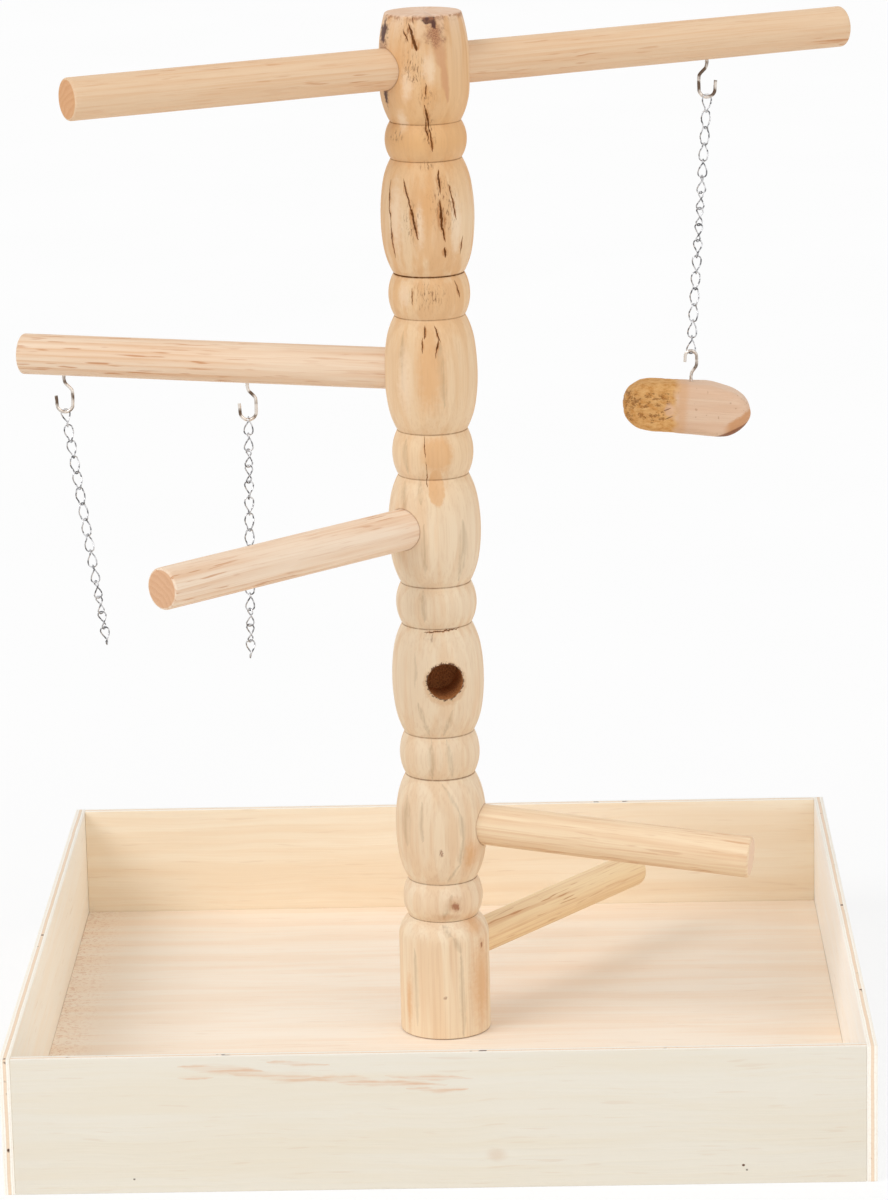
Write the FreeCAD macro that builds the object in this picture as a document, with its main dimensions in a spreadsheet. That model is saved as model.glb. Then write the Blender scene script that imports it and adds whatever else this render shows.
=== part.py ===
import FreeCAD, Part
import math
import os

import Sketcher

# A parrot play stand: a turned wooden post stands in a square plywood tray and carries five
# dowel perches at different heights.  Three twisted-link chains hang from screw hooks under
# the perches, and one of them carries a wooden chew block.
# Millimetres, +Z up, origin on the table under the middle of the tray, -Y is the front.

SIZES = {
    # tray
    "tray_side": 508.0,
    "tray_height": 83.0,
    "board_thickness": 6.4,
    "panel_thickness": 6.4,
    "panel_lift": 5.4,
    "joint_gap": 0.05,
    # brads that pin the tray together
    "brad_width": 1.3,
    "brad_depth": 1.1,
    "brad_length": 19.0,
    "panel_brad_offset": 178.0,
    # turned post, from the foot to the head
    "foot_height": 75.1,
    "foot_diameter": 56.5,
    "foot_shoulder": 14.0,
    "bead_height_low": 24.3,
    "bead_height_second": 27.2,
    "bead_height_third": 26.1,
    "bead_height_fourth": 28.0,
    "bead_height_fifth": 26.3,
    "bead_height_top": 22.5,
    "barrel_height_low": 67.9,
    "barrel_height_second": 69.4,
    "barrel_height_third": 68.0,
    "barrel_height_fourth": 70.9,
    "barrel_height_top": 70.1,
    "head_height": 65.7,
    "groove_diameter": 43.0,
    "bead_diameter": 49.8,
    "barrel_diameter": 57.0,
    "barrel_shoulder": 15.4,
    "barrel_shoulder_inset": 1.6,
    "head_diameter": 54.4,
    "head_belly_low": 22.0,
    "head_belly_high": 38.0,
    "head_rim_diameter": 47.0,
    "head_rim_ease": 1.6,
    # dowel perches and their sockets
    "dowel_diameter": 25.4,
    "thin_dowel_diameter": 22.2,
    "dowel_ease": 1.2,
    "socket_gap": 0.05,
    "socket_floor": 1.0,
    "spare_socket_depth": 27.0,
    "top_azimuth": 29.3,
    "top_reach": 298.0,
    "top_back_reach": 235.0,
    "top_raise": 0.0,
    "upper_left_azimuth": 163.5,
    "upper_left_reach": 268.5,
    "upper_left_raise": 0.9,
    "lower_left_azimuth": 225.7,
    "lower_left_reach": 224.5,
    "lower_left_raise": 3.0,
    "right_azimuth": -13.0,
    "right_reach": 197.0,
    "right_raise": 2.7,
    "right_droop": 4.3,
    "low_back_azimuth": 53.9,
    "low_back_reach": 208.5,
    "low_back_raise": 11.6,
    "spare_azimuth": -79.5,
    "spare_raise": 3.0,
    # screw hooks under the perches
    "hook_wire": 2.2,
    "hook_bow_radius": 5.0,
    "hook_neck": 3.0,
    "hook_drop": 18.5,
    "hook_offset_run": 8.0,
    "hook_tip_rise": 5.4,
    "hook_shank": 11.5,
    "left_hook_reach": 241.5,
    "middle_hook_reach": 119.6,
    "right_hook_reach": 199.1,
    # chains
    "link_wire": 1.1,
    "link_width": 6.0,
    "link_pitch": 10.2,
    "link_gap": 0.15,
    "left_lean": 7.7,
    "middle_lean": -1.3,
    "right_lean": -4.1,
    "left_twist": -9.0,
    "middle_twist": 12.0,
    "right_twist": 6.0,
    # chew block and its own screw hook
    "toy_length": 82.0,
    "toy_height": 33.0,
    "toy_depth": 28.0,
    "toy_nose_radius": 15.5,
    "toy_ease": 5.0,
    "toy_facet": 9.0,
    "toy_tilt": 5.0,
    "toy_hook_place": 1.5,
    "toy_hook_wire": 2.0,
    "toy_hook_bow_radius": 3.6,
    "toy_hook_neck": 4.0,
    "toy_hook_drop": 16.0,
    "toy_hook_offset_run": 7.5,
    "toy_hook_tip_rise": 3.4,
    "toy_hook_shank": 12.0,
    # screw and washer that hold the post from below
    "screw_diameter": 5.0,
    "screw_length": 40.0,
    "screw_point": 6.0,
    "screw_head_diameter": 9.6,
    "screw_head_height": 2.6,
    "screw_clearance": 0.3,
    "washer_diameter": 24.0,
    "washer_thickness": 1.2,
}

STORY_STICK = (
    ("bead", "bead_height_low"),
    ("barrel", "barrel_height_low"),
    ("bead", "bead_height_second"),
    ("barrel", "barrel_height_second"),
    ("bead", "bead_height_third"),
    ("barrel", "barrel_height_third"),
    ("bead", "bead_height_fourth"),
    ("barrel", "barrel_height_fourth"),
    ("bead", "bead_height_fifth"),
    ("barrel", "barrel_height_top"),
    ("bead", "bead_height_top"),
)

LINKS_ON_LEFT_CHAIN = 15
LINKS_ON_MIDDLE_CHAIN = 15
LINKS_ON_RIGHT_CHAIN = 16
LINKS_PER_SEGMENT = 3
LINK_WIRE_SIDES = 6
LINK_BOW_SPANS = 4
HOOK_WIRE_SIDES = 8
HOOK_BOW_SPANS = 6


class Size:
    """A length or an angle together with the sheet formula that it comes from."""

    def __init__(self, value, formula):
        self.value = float(value)
        self.formula = formula

    def joined(self, other, sign, value):
        return Size(value, "(%s %s %s)" % (self.formula, sign, other.formula))

    def __add__(self, other):
        other = as_size(other)
        return self.joined(other, "+", self.value + other.value)

    def __sub__(self, other):
        other = as_size(other)
        return self.joined(other, "-", self.value - other.value)

    def __mul__(self, other):
        other = as_size(other)
        return self.joined(other, "*", self.value * other.value)

    def __truediv__(self, other):
        other = as_size(other)
        return self.joined(other, "/", self.value / other.value)

    def __neg__(self):
        return as_size(0) - self


def as_size(number):
    if isinstance(number, Size):
        return number
    return Size(number, repr(float(number)))


def size(alias):
    return Size(SIZES[alias], "sizes." + alias)


def arc_radius(rise, run):
    """Radius of an arc that leaves one end straight and has moved sideways by run after rise."""
    return (rise * rise + run * run) / (run * 2)


def bow_radius(chord, height):
    """Radius of an arc over a chord that stands height above it in the middle."""
    return (chord * chord / 4 + height * height) / (height * 2)


def flank_radius(rise, run, belly, half_chord, inset):
    """Radius of an arc that moves sideways by run over rise and ends along a belly arc."""
    offset = (run * (belly - inset) - rise * half_chord) / belly
    return (rise * rise + run * run) / (offset * 2)


doc = FreeCAD.newDocument("play_stand")
sheet = doc.addObject("Spreadsheet::Sheet", "sizes")
for row, (alias, number) in enumerate(SIZES.items(), start=1):
    sheet.set("A%d" % row, alias)
    sheet.set("B%d" % row, str(number))
    sheet.setAlias("B%d" % row, alias)
doc.recompute()

nodes = []
hinges = []


def bind(thing, prop, amount):
    """Give a property its value and the formula that drives it."""
    amount = as_size(amount)
    setattr(thing, prop, amount.value)
    thing.setExpression(prop, amount.formula)


def place(thing, position, rotation=FreeCAD.Rotation()):
    thing.Placement = FreeCAD.Placement(position, rotation)


def finish(thing, label):
    """Keep an object as a sub-part under its own name."""
    thing.Label = label
    nodes.append(thing)
    return thing


def origin_plane(body, role):
    for feature in body.Origin.OriginFeatures:
        if feature.Role == role:
            return feature
    raise ValueError(role)


def pin_point(sketch, item, end, across, up):
    """Hold one end of a sketch line at a place given by two sizes."""
    for kind, axis, amount in (("DistanceX", -2, across), ("DistanceY", -1, up)):
        if abs(amount.value) < 1e-9:
            sketch.addConstraint(Sketcher.Constraint("PointOnObject", item, end, axis))
            continue
        points = (-1, 1, item, end)
        if amount.value < 0:
            points = (item, end, -1, 1)
            amount = -amount
        number = sketch.addConstraint(Sketcher.Constraint(kind, *points, amount.value))
        sketch.setExpression("Constraints[%d]" % number, amount.formula)


def arc_between(first, last, radius):
    """The shorter arc from first to last: to the left of its centre line if radius is positive."""
    chord = last - first
    middle = (first + last) / 2
    reach = math.sqrt(max(radius * radius - chord.Length ** 2 / 4, 0.0))
    side = FreeCAD.Vector(-chord.y, chord.x, 0).normalize()
    centre = middle + side * math.copysign(reach, radius)
    angles = []
    for point in (first, last):
        angles.append(math.atan2(point.y - centre.y, point.x - centre.x))
    if radius < 0:
        angles.reverse()
    if angles[1] < angles[0]:
        angles[1] += 2 * math.pi
    circle = Part.Circle(centre, FreeCAD.Vector(0, 0, 1), abs(radius))
    return Part.ArcOfCircle(circle, angles[0], angles[1])


def draw(body, name, role, steps, closed=True):
    """Draw an outline on an origin plane.

    Each step is (across, up) for a corner, or (across, up, radius) where an arc arrives at it;
    a positive radius turns to the left.  The first step is only the start of an open outline.
    """
    sketch = body.newObject("Sketcher::SketchObject", name)
    sketch.AttachmentSupport = [(origin_plane(body, role), "")]
    sketch.MapMode = "FlatFace"
    corners = [(as_size(step[0]), as_size(step[1])) for step in steps]
    points = [FreeCAD.Vector(across.value, up.value, 0) for across, up in corners]
    first = 0 if closed else 1
    previous_end = None
    first_end = None
    for number in range(first, len(steps)):
        start, stop = points[number - 1], points[number]
        ends = (1, 2)
        if len(steps[number]) == 2:
            item = sketch.addGeometry(Part.LineSegment(start, stop))
        else:
            radius = as_size(steps[number][2])
            item = sketch.addGeometry(arc_between(start, stop, radius.value))
            if radius.value < 0:
                ends = (2, 1)
                radius = -radius
            mark = sketch.addConstraint(Sketcher.Constraint("Radius", item, radius.value))
            sketch.setExpression("Constraints[%d]" % mark, radius.formula)
        if previous_end is None:
            first_end = (item, ends[0])
            if not closed:
                pin_point(sketch, item, ends[0], *corners[number - 1])
        else:
            sketch.addConstraint(Sketcher.Constraint("Coincident", *previous_end, item, ends[0]))
        pin_point(sketch, item, ends[1], *corners[number])
        previous_end = (item, ends[1])
    if closed:
        sketch.addConstraint(Sketcher.Constraint("Coincident", *previous_end, *first_end))
    return sketch


def draw_circle(body, name, role, across, up, radius):
    sketch = body.newObject("Sketcher::SketchObject", name)
    sketch.AttachmentSupport = [(origin_plane(body, role), "")]
    sketch.MapMode = "FlatFace"
    across, up, radius = as_size(across), as_size(up), as_size(radius)
    centre = FreeCAD.Vector(across.value, up.value, 0)
    item = sketch.addGeometry(Part.Circle(centre, FreeCAD.Vector(0, 0, 1), radius.value))
    mark = sketch.addConstraint(Sketcher.Constraint("Radius", item, radius.value))
    sketch.setExpression("Constraints[%d]" % mark, radius.formula)
    pin_point(sketch, item, 3, across, up)
    return sketch


def pad(body, sketch, length):
    feature = body.newObject("PartDesign::Pad", sketch.Name + "_pad")
    feature.Profile = sketch
    bind(feature, "Length", length)
    return feature


def revolve(body, sketch):
    feature = body.newObject("PartDesign::Revolution", sketch.Name + "_turned")
    feature.Profile = sketch
    feature.ReferenceAxis = (sketch, ["V_Axis"])
    feature.Angle = 360.0
    return feature


def cut_away(base, tools, label):
    """One or more cutting solids taken out of a base solid."""
    tool = tools[0]
    if len(tools) > 1:
        tool = doc.addObject("Part::MultiFuse", label + "_cutters")
        tool.Shapes = tools
    cut = doc.addObject("Part::Cut", label + "_cut")
    cut.Base = base
    cut.Tool = tool
    return cut


def round_cutter(name, radius, height, position, direction):
    cylinder = doc.addObject("Part::Cylinder", name)
    bind(cylinder, "Radius", radius)
    bind(cylinder, "Height", height)
    place(cylinder, position, FreeCAD.Rotation(FreeCAD.Vector(0, 0, 1), direction))
    return cylinder


# ---------------------------------------------------------------- tray

half_side = size("tray_side") / 2
board = size("board_thickness")
panel_top = size("panel_lift") + size("panel_thickness")
across_gap = size("tray_side") - board * 2 - size("joint_gap") * 2


def flat_board(name, role, low, high, thickness, position):
    """A plain board drawn as a rectangle and padded by its thickness."""
    body = doc.addObject("PartDesign::Body", name)
    steps = ((low[0], low[1]), (high[0], low[1]), (high[0], high[1]), (low[0], high[1]))
    pad(body, draw(body, name + "_outline", role, steps), thickness)
    place(body, position)
    return body


def tray_brads():
    """Square-shanked brads: two at each corner, and two through each board into the panel."""
    width, depth, length = size("brad_width"), size("brad_depth"), size("brad_length")
    edge = half_side - board / 2
    levels = (size("tray_height") / 4, size("tray_height") * 3 / 4)
    panel_level = size("panel_lift") + size("panel_thickness") / 2
    places = []
    for end in (-1, 1):
        for side in (-1, 1):
            for level in levels:
                places.append(("x", side, edge.value * end, level.value))
            places.append(("x", side, SIZES["panel_brad_offset"] * end, panel_level.value))
            places.append(("y", side, SIZES["panel_brad_offset"] * end, panel_level.value))
    brads = []
    for number, (axis, side, along, level) in enumerate(places, start=1):
        brad = doc.addObject("Part::Box", "brad_%d" % number)
        start = half_side.value if side > 0 else -half_side.value
        inner = start - side * length.value
        low = min(start, inner)
        if axis == "x":
            bind(brad, "Length", length)
            bind(brad, "Width", width)
            corner = FreeCAD.Vector(low, along - width.value / 2, level - depth.value / 2)
        else:
            bind(brad, "Length", width)
            bind(brad, "Width", length)
            corner = FreeCAD.Vector(along - width.value / 2, low, level - depth.value / 2)
        bind(brad, "Height", depth)
        place(brad, corner)
        brads.append(brad)
    group = doc.addObject("Part::Compound", "tray_brads")
    group.Links = brads
    return finish(group, "tray_brads")


brads = tray_brads()
inside = across_gap / 2
for label, across in (("tray_side_left", -half_side), ("tray_side_right", half_side - board)):
    side_board = flat_board(
        label + "_board", "YZ_Plane", (-half_side, 0), (half_side, size("tray_height")),
        board, FreeCAD.Vector(across.value, 0, 0))
    finish(cut_away(side_board, [brads], label), label)
for label, along in (("tray_front", -half_side + board), ("tray_back", half_side)):
    end_board = flat_board(
        label + "_board", "XZ_Plane", (-inside, 0), (inside, size("tray_height")),
        board, FreeCAD.Vector(0, along.value, 0))
    finish(cut_away(end_board, [brads], label), label)
panel = flat_board(
    "tray_floor_board", "XY_Plane", (-inside, -inside), (inside, inside),
    size("panel_thickness"), FreeCAD.Vector(0, 0, SIZES["panel_lift"]))
screw_way = round_cutter(
    "tray_floor_screw_way", size("screw_diameter") / 2 + size("screw_clearance"),
    panel_top, FreeCAD.Vector(0, 0, 0), FreeCAD.Vector(0, 0, 1))
finish(cut_away(panel, [brads, screw_way], "tray_floor"), "tray_floor")


# ---------------------------------------------------------------- turned post

def post_outline():
    """Half outline of the turning, from the foot up, and the height of each named stretch."""
    groove = size("groove_diameter") / 2
    foot = size("foot_diameter") / 2
    head = size("head_diameter") / 2
    rim = size("head_rim_diameter") / 2
    middles = {}
    top = panel_top + size("foot_height")
    steps = [
        (0, panel_top),
        (foot, panel_top),
        (foot, top - size("foot_shoulder")),
        (groove, top, arc_radius(size("foot_shoulder"), foot - groove)),
    ]
    middles["foot"] = panel_top + size("foot_height") / 2
    for kind, alias in STORY_STICK:
        low = top
        top = low + size(alias)
        if kind == "bead":
            swell = size("bead_diameter") / 2 - groove
            steps.append((groove, top, bow_radius(size(alias), swell)))
        else:
            inset = size("barrel_shoulder_inset")
            shoulder = size("barrel_diameter") / 2 - inset
            rise = size("barrel_shoulder")
            belly = bow_radius(size(alias) - rise * 2, inset)
            flank = flank_radius(rise, shoulder - groove, belly, size(alias) / 2 - rise, inset)
            steps.append((shoulder, low + rise, flank))
            steps.append((shoulder, top - rise, belly))
            steps.append((groove, top, flank))
        middles[alias] = low + size(alias) / 2
    low = top
    top = low + size("head_height")
    ease = size("head_rim_ease")
    upper = top - ease - low - size("head_belly_high")
    steps.append((head, low + size("head_belly_low"),
                  arc_radius(size("head_belly_low"), head - groove)))
    steps.append((head, low + size("head_belly_high")))
    steps.append((rim, top - ease, arc_radius(upper, head - rim)))
    steps.append((rim - ease, top))
    steps.append((0, top))
    middles["head"] = low + size("head_height") / 2
    return steps, middles


post_steps, post_middles = post_outline()
post_turning = doc.addObject("PartDesign::Body", "post_turning")
revolve(post_turning, draw(post_turning, "post_outline", "XZ_Plane", post_steps))


# ---------------------------------------------------------------- perches

PERCHES = (
    # name, post stretch, sizes prefix, dowel, hooks screwed into its underside
    ("perch_top", "head", "top", "dowel_diameter", ("right_hook_reach",)),
    ("perch_upper_left", "barrel_height_fourth", "upper_left", "dowel_diameter",
     ("left_hook_reach", "middle_hook_reach")),
    ("perch_lower_left", "barrel_height_third", "lower_left", "dowel_diameter", ()),
    ("perch_right", "barrel_height_low", "right", "dowel_diameter", ()),
    ("perch_low_back", "foot", "low_back", "thin_dowel_diameter", ()),
)


def perch_line(stretch, prefix):
    """The point on the post's axis where a perch starts, and the way that it points."""
    level = post_middles[stretch].value + SIZES[prefix + "_raise"]
    turn = FreeCAD.Rotation(FreeCAD.Vector(0, 0, 1), SIZES[prefix + "_azimuth"])
    droop = FreeCAD.Rotation(FreeCAD.Vector(0, 1, 0), SIZES.get(prefix + "_droop", 0.0))
    return FreeCAD.Placement(FreeCAD.Vector(0, 0, level), turn * droop)


def end_edges(shape, stations):
    """Names of the round edges that lie at the given stations along X."""
    names = []
    for number, edge in enumerate(shape.Edges, start=1):
        box = edge.BoundBox
        for station in stations:
            if box.XLength < 1e-6 and abs(box.XMin - station) < 1e-6:
                names.append("Edge%d" % number)
    return names


def perch(label, stretch, prefix, dowel, hook_aliases):
    """A plain dowel with eased ends and a pilot hole for each hook under it."""
    through = prefix == "top"
    reach = size(prefix + "_reach")
    start = -size("top_back_reach") if through else size("socket_floor")
    body = doc.addObject("PartDesign::Body", label + "_dowel")
    outline = draw_circle(body, label + "_section", "YZ_Plane", 0, 0, size(dowel) / 2)
    outline.AttachmentOffset = FreeCAD.Placement(
        FreeCAD.Vector(0, 0, start.value), FreeCAD.Rotation())
    outline.setExpression("AttachmentOffset.Base.z", start.formula)
    length = pad(body, outline, reach - start)
    doc.recompute()
    stations = [reach.value] + ([start.value] if through else [])
    eased = body.newObject("PartDesign::Chamfer", label + "_eased_ends")
    eased.Base = (length, end_edges(length.Shape, stations))
    bind(eased, "Size", size("dowel_ease"))
    for number, alias in enumerate(hook_aliases, start=1):
        pilot = draw_circle(body, "%s_pilot_%d" % (label, number), "XY_Plane",
                            size(alias), 0, size("hook_wire") / 2)
        hole = body.newObject("PartDesign::Pocket", pilot.Name + "_hole")
        hole.Profile = pilot
        bind(hole, "Length", size(dowel))
    body.Placement = perch_line(stretch, prefix)
    return finish(body, label)


def socket(label, stretch, prefix, dowel, start, depth):
    """The hole in the post that a perch fits."""
    line = perch_line(stretch, prefix)
    ahead = line.Rotation.multVec(FreeCAD.Vector(1, 0, 0))
    return round_cutter(label, size(dowel) / 2 + size("socket_gap"), depth,
                        line.Base + ahead * start, ahead)


barrel_wall = size("barrel_diameter")
sockets = []
for label, stretch, prefix, dowel, hook_aliases in PERCHES:
    perch(label, stretch, prefix, dowel, hook_aliases)
    if prefix == "top":
        sockets.append(socket(label + "_socket", stretch, prefix, dowel,
                              -SIZES["barrel_diameter"], barrel_wall * 2))
    else:
        sockets.append(socket(label + "_socket", stretch, prefix, dowel,
                              SIZES["socket_floor"], barrel_wall))
spare_start = size("barrel_diameter") / 2 - size("spare_socket_depth")
sockets.append(socket("spare_socket", "barrel_height_second", "spare", "thin_dowel_diameter",
                      spare_start.value, barrel_wall))
washer_low = size("panel_lift") - size("washer_thickness")
screw_tip = washer_low + size("screw_length")
sockets.append(round_cutter("post_pilot", size("screw_diameter") / 2,
                            screw_tip + size("screw_clearance"),
                            FreeCAD.Vector(0, 0, 0), FreeCAD.Vector(0, 0, 1)))
finish(cut_away(post_turning, sockets, "post"), "post")


# ---------------------------------------------------------------- post screw and washer

def turned_part(name, steps):
    body = doc.addObject("PartDesign::Body", name + "_turning")
    revolve(body, draw(body, name + "_outline", "XZ_Plane", steps))
    return finish(body, name)


shank = size("screw_diameter") / 2
screw_head = size("screw_head_diameter") / 2
dome = size("screw_head_height")
turned_part("post_screw", (
    (0, washer_low - dome),
    (screw_head - dome / 2, washer_low - dome),
    (screw_head, washer_low - dome / 2),
    (screw_head, washer_low),
    (shank, washer_low),
    (shank, screw_tip - size("screw_point")),
    (0, screw_tip),
))
washer_bore = shank + size("screw_clearance")
washer_rim = size("washer_diameter") / 2
turned_part("post_washer", (
    (washer_bore, washer_low),
    (washer_rim, washer_low),
    (washer_rim, size("panel_lift")),
    (washer_bore, size("panel_lift")),
))


# ---------------------------------------------------------------- screw hooks

def screw_hook(name, prefix):
    """A bent-wire hook: shank, offset neck, half-round bow and a short tip.

    It is drawn hanging down from the top end of its shank, with flat facets along the wire.
    """
    wire = size(prefix + "hook_wire") / 2
    bow = size(prefix + "hook_bow_radius")
    neck = size(prefix + "hook_neck") + size(prefix + "hook_shank")
    run = size(prefix + "hook_offset_run")
    low = size(prefix + "hook_drop") + size(prefix + "hook_shank")
    steps = [(0, 0), (0, -neck)]
    for across, along in ((0.2, 0.35), (0.8, 0.65), (1.0, 1.0)):
        steps.append((bow * across, -neck - run * along))
    for number in range(HOOK_BOW_SPANS + 1):
        angle = math.pi * number / HOOK_BOW_SPANS
        steps.append((bow * round(math.cos(angle), 6), -low - bow * round(math.sin(angle), 6)))
    steps.append((-bow, -low + size(prefix + "hook_tip_rise")))
    corners = []
    for side in range(HOOK_WIRE_SIDES):
        angle = 2 * math.pi * (side + 0.5) / HOOK_WIRE_SIDES
        corners.append((wire * round(math.cos(angle), 6), wire * round(math.sin(angle), 6)))
    body = doc.addObject("PartDesign::Body", name + "_wire")
    path = draw(body, name + "_path", "XZ_Plane", steps, closed=False)
    section = draw(body, name + "_section", "XY_Plane", corners)
    pipe = body.newObject("PartDesign::AdditivePipe", name + "_bent_wire")
    pipe.Profile = section
    pipe.Spine = (path, ["Edge%d" % number for number in range(1, path.GeometryCount + 1)])
    pipe.Transition = "Right corner"
    return finish(body, name)


def hook_under(name, stretch, prefix, alias, facing):
    """A hook screwed up into the underside of a perch; gives the middle of its bow's wire."""
    line = perch_line(stretch, prefix)
    shank_top = SIZES["hook_shank"] - SIZES["dowel_diameter"] / 2
    spot = line.multVec(FreeCAD.Vector(SIZES[alias], 0, shank_top))
    place(screw_hook(name, ""), spot, FreeCAD.Rotation(FreeCAD.Vector(0, 0, 1), facing))
    reach_down = SIZES["hook_shank"] + SIZES["hook_drop"] + SIZES["hook_bow_radius"]
    return spot - FreeCAD.Vector(0, 0, reach_down)


# ---------------------------------------------------------------- chains

link_radius = size("link_wire").value / 2
link_half_width = (SIZES["link_width"] - SIZES["link_wire"]) / 2
bearing_drop = SIZES["link_wire"] + SIZES["link_gap"]
link_height = SIZES["link_pitch"] + bearing_drop


def link_wire_line():
    """Middle line of one twisted link: its top bow lies across X, its bottom bow along X."""
    bow_centre = link_height / 2 - link_half_width
    flat = []
    for end in (1, -1):
        for number in range(LINK_BOW_SPANS + 1):
            angle = math.pi * number / LINK_BOW_SPANS
            flat.append((end * link_half_width * math.cos(angle),
                         end * (bow_centre + link_half_width * math.sin(angle))))
        flat.append((-end * link_half_width, 0.0))
    line = []
    for across, up in flat:
        share = max(-1.0, min(1.0, up / bow_centre))
        turn = math.radians(45) * (1 + share)
        line.append(FreeCAD.Vector(across * math.cos(turn), across * math.sin(turn), up))
    return line


def round_ring(line, radius, sides):
    """A closed bent wire along a ring of points, with flat facets."""
    count = len(line)
    along = []
    for number in range(count):
        along.append((line[(number + 1) % count] - line[number - 1]).normalize())
    across = [along[0].cross(FreeCAD.Vector(1, 1, 1)).normalize()]
    for number in range(1, count + 1):
        turn = FreeCAD.Rotation(along[number - 1], along[number % count])
        across.append(turn.multVec(across[-1]))
    slip = math.atan2(across[count].cross(across[0]).dot(along[0]),
                      across[count].dot(across[0]))
    step = 2 * math.pi / sides
    jump = round(slip / step)
    slip -= step * jump
    rings = []
    for number in range(count):
        beside = along[number].cross(across[number])
        ring = []
        for side in range(sides):
            angle = slip * number / count + step * side
            offset = across[number] * math.cos(angle) + beside * math.sin(angle)
            ring.append(line[number] + offset * radius)
        rings.append(ring)
    rings.append([rings[0][side - jump] for side in range(sides)])
    faces = []
    for here, following in zip(rings, rings[1:]):
        for side in range(sides):
            a, b = here[side - 1], here[side]
            c, d = following[side], following[side - 1]
            for corners in ((a, b, c), (a, c, d)):
                faces.append(Part.Face(Part.makePolygon([*corners, corners[0]])))
    return Part.Solid(Part.makeShell(faces))


LINK = round_ring(link_wire_line(), link_radius, LINK_WIRE_SIDES)


def chain(side, count, bow_middle, hook_wire):
    """A chain that hangs from a hook; gives the middle of its last link's bottom bow.

    The links are grouped in short segments.  Each segment tilts on the link above it, by turns
    about its own top bow and about the bow that it hangs on.
    """
    lean = FreeCAD.Rotation(FreeCAD.Vector(0, 1, 0), -SIZES[side + "_lean"])
    down = lean.multVec(FreeCAD.Vector(0, 0, -1))
    top_bow = bow_middle - down * (hook_wire / 2 + link_radius + SIZES["link_gap"])
    places = []
    for number in range(count):
        turn = FreeCAD.Rotation(FreeCAD.Vector(0, 0, 1), SIZES[side + "_twist"] * number)
        middle = top_bow + down * (SIZES["link_pitch"] * number + link_height / 2)
        places.append(FreeCAD.Placement(middle, lean * turn))
    for segment, first in enumerate(range(0, count, LINKS_PER_SEGMENT), start=1):
        label = "chain_%s_%d" % (side, segment)
        group = doc.addObject("Part::Feature", label + "_links")
        links = []
        for placement in places[first:first + LINKS_PER_SEGMENT]:
            link = LINK.copy()
            link.Placement = placement
            links.append(link)
        group.Shape = Part.makeCompound(links)
        finish(group, label)
        own_bow = places[first].multVec(FreeCAD.Vector(0, 0, link_height / 2))
        if segment % 2:
            axis = places[first].Rotation.multVec(FreeCAD.Vector(0, 1, 0))
            pivot = own_bow
        else:
            above = places[first - 1]
            axis = above.Rotation.multVec(FreeCAD.Vector(1, 0, 0))
            pivot = above.multVec(FreeCAD.Vector(0, 0, -link_height / 2))
        if segment % 4 in (3, 0):
            axis = -axis
        hinges.append((label, pivot, axis))
    last = places[-1]
    bottom = last.multVec(FreeCAD.Vector(0, 0, -link_height / 2))
    return bottom, last.Rotation.multVec(FreeCAD.Vector(1, 0, 0))


upper_left = ("barrel_height_fourth", "upper_left")
left_bow = hook_under("hook_left", *upper_left, "left_hook_reach", 0)
middle_bow = hook_under("hook_middle", *upper_left, "middle_hook_reach", 0)
right_bow = hook_under("hook_right", "head", "top", "right_hook_reach", 180)
chain("left", LINKS_ON_LEFT_CHAIN, left_bow, SIZES["hook_wire"])
chain("middle", LINKS_ON_MIDDLE_CHAIN, middle_bow, SIZES["hook_wire"])
toy_bearing, toy_axis = chain("right", LINKS_ON_RIGHT_CHAIN, right_bow, SIZES["hook_wire"])


# ---------------------------------------------------------------- chew block

def toy_wood():
    """An oblong slice of branch: rounded nose, slightly swelling sides, sawn right end."""
    half = size("toy_length") / 2
    tall = size("toy_height") / 2
    nose = size("toy_nose_radius")
    facet = size("toy_facet")
    body = doc.addObject("PartDesign::Body", "toy_wood")
    outline = draw(body, "toy_outline", "XZ_Plane", (
        (nose - half, -nose, nose),
        (half - facet * 2, -tall),
        (half - facet, -tall + facet / 4),
        (half, -facet / 3),
        (half, facet / 3),
        (half - facet, tall - facet / 2),
        (half - facet * 3, tall),
        (nose - half, nose),
        (-half, 0, nose),
    ))
    slab = pad(body, outline, size("toy_depth"))
    slab.SideType = "Symmetric"
    doc.recompute()
    rims = []
    for number, edge in enumerate(slab.Shape.Edges, start=1):
        if edge.BoundBox.YLength < 1e-6:
            rims.append("Edge%d" % number)
    eased = body.newObject("PartDesign::Fillet", "toy_eased_edges")
    eased.Base = (slab, rims)
    bind(eased, "Radius", size("toy_ease"))
    return body


toy_shank = size("toy_hook_shank")
bow_lift = SIZES["toy_hook_wire"] / 2 + link_radius + SIZES["link_gap"]
stem = SIZES["toy_hook_drop"] + SIZES["toy_hook_bow_radius"]
bow_top = toy_bearing + FreeCAD.Vector(0, 0, bow_lift)
entry = bow_top - FreeCAD.Vector(0, 0, stem)
shank_end = entry - FreeCAD.Vector(0, 0, toy_shank.value)
place(screw_hook("toy_hook", "toy_"), shank_end,
      FreeCAD.Rotation(FreeCAD.Vector(1, 0, 0), 180))
tilt = FreeCAD.Rotation(FreeCAD.Vector(0, 1, 0), SIZES["toy_tilt"])
top_face = FreeCAD.Vector(SIZES["toy_hook_place"], 0, SIZES["toy_height"] / 2)
wood = toy_wood()
place(wood, entry - tilt.multVec(top_face), tilt)
toy_pilot = round_cutter("toy_pilot", size("toy_hook_wire") / 2, toy_shank * 2, shank_end,
                         FreeCAD.Vector(0, 0, 1))
finish(cut_away(wood, [toy_pilot], "toy_block"), "toy_block")
hinges.append(("toy", toy_bearing, toy_axis))


# ---------------------------------------------------------------- checks and export

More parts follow.
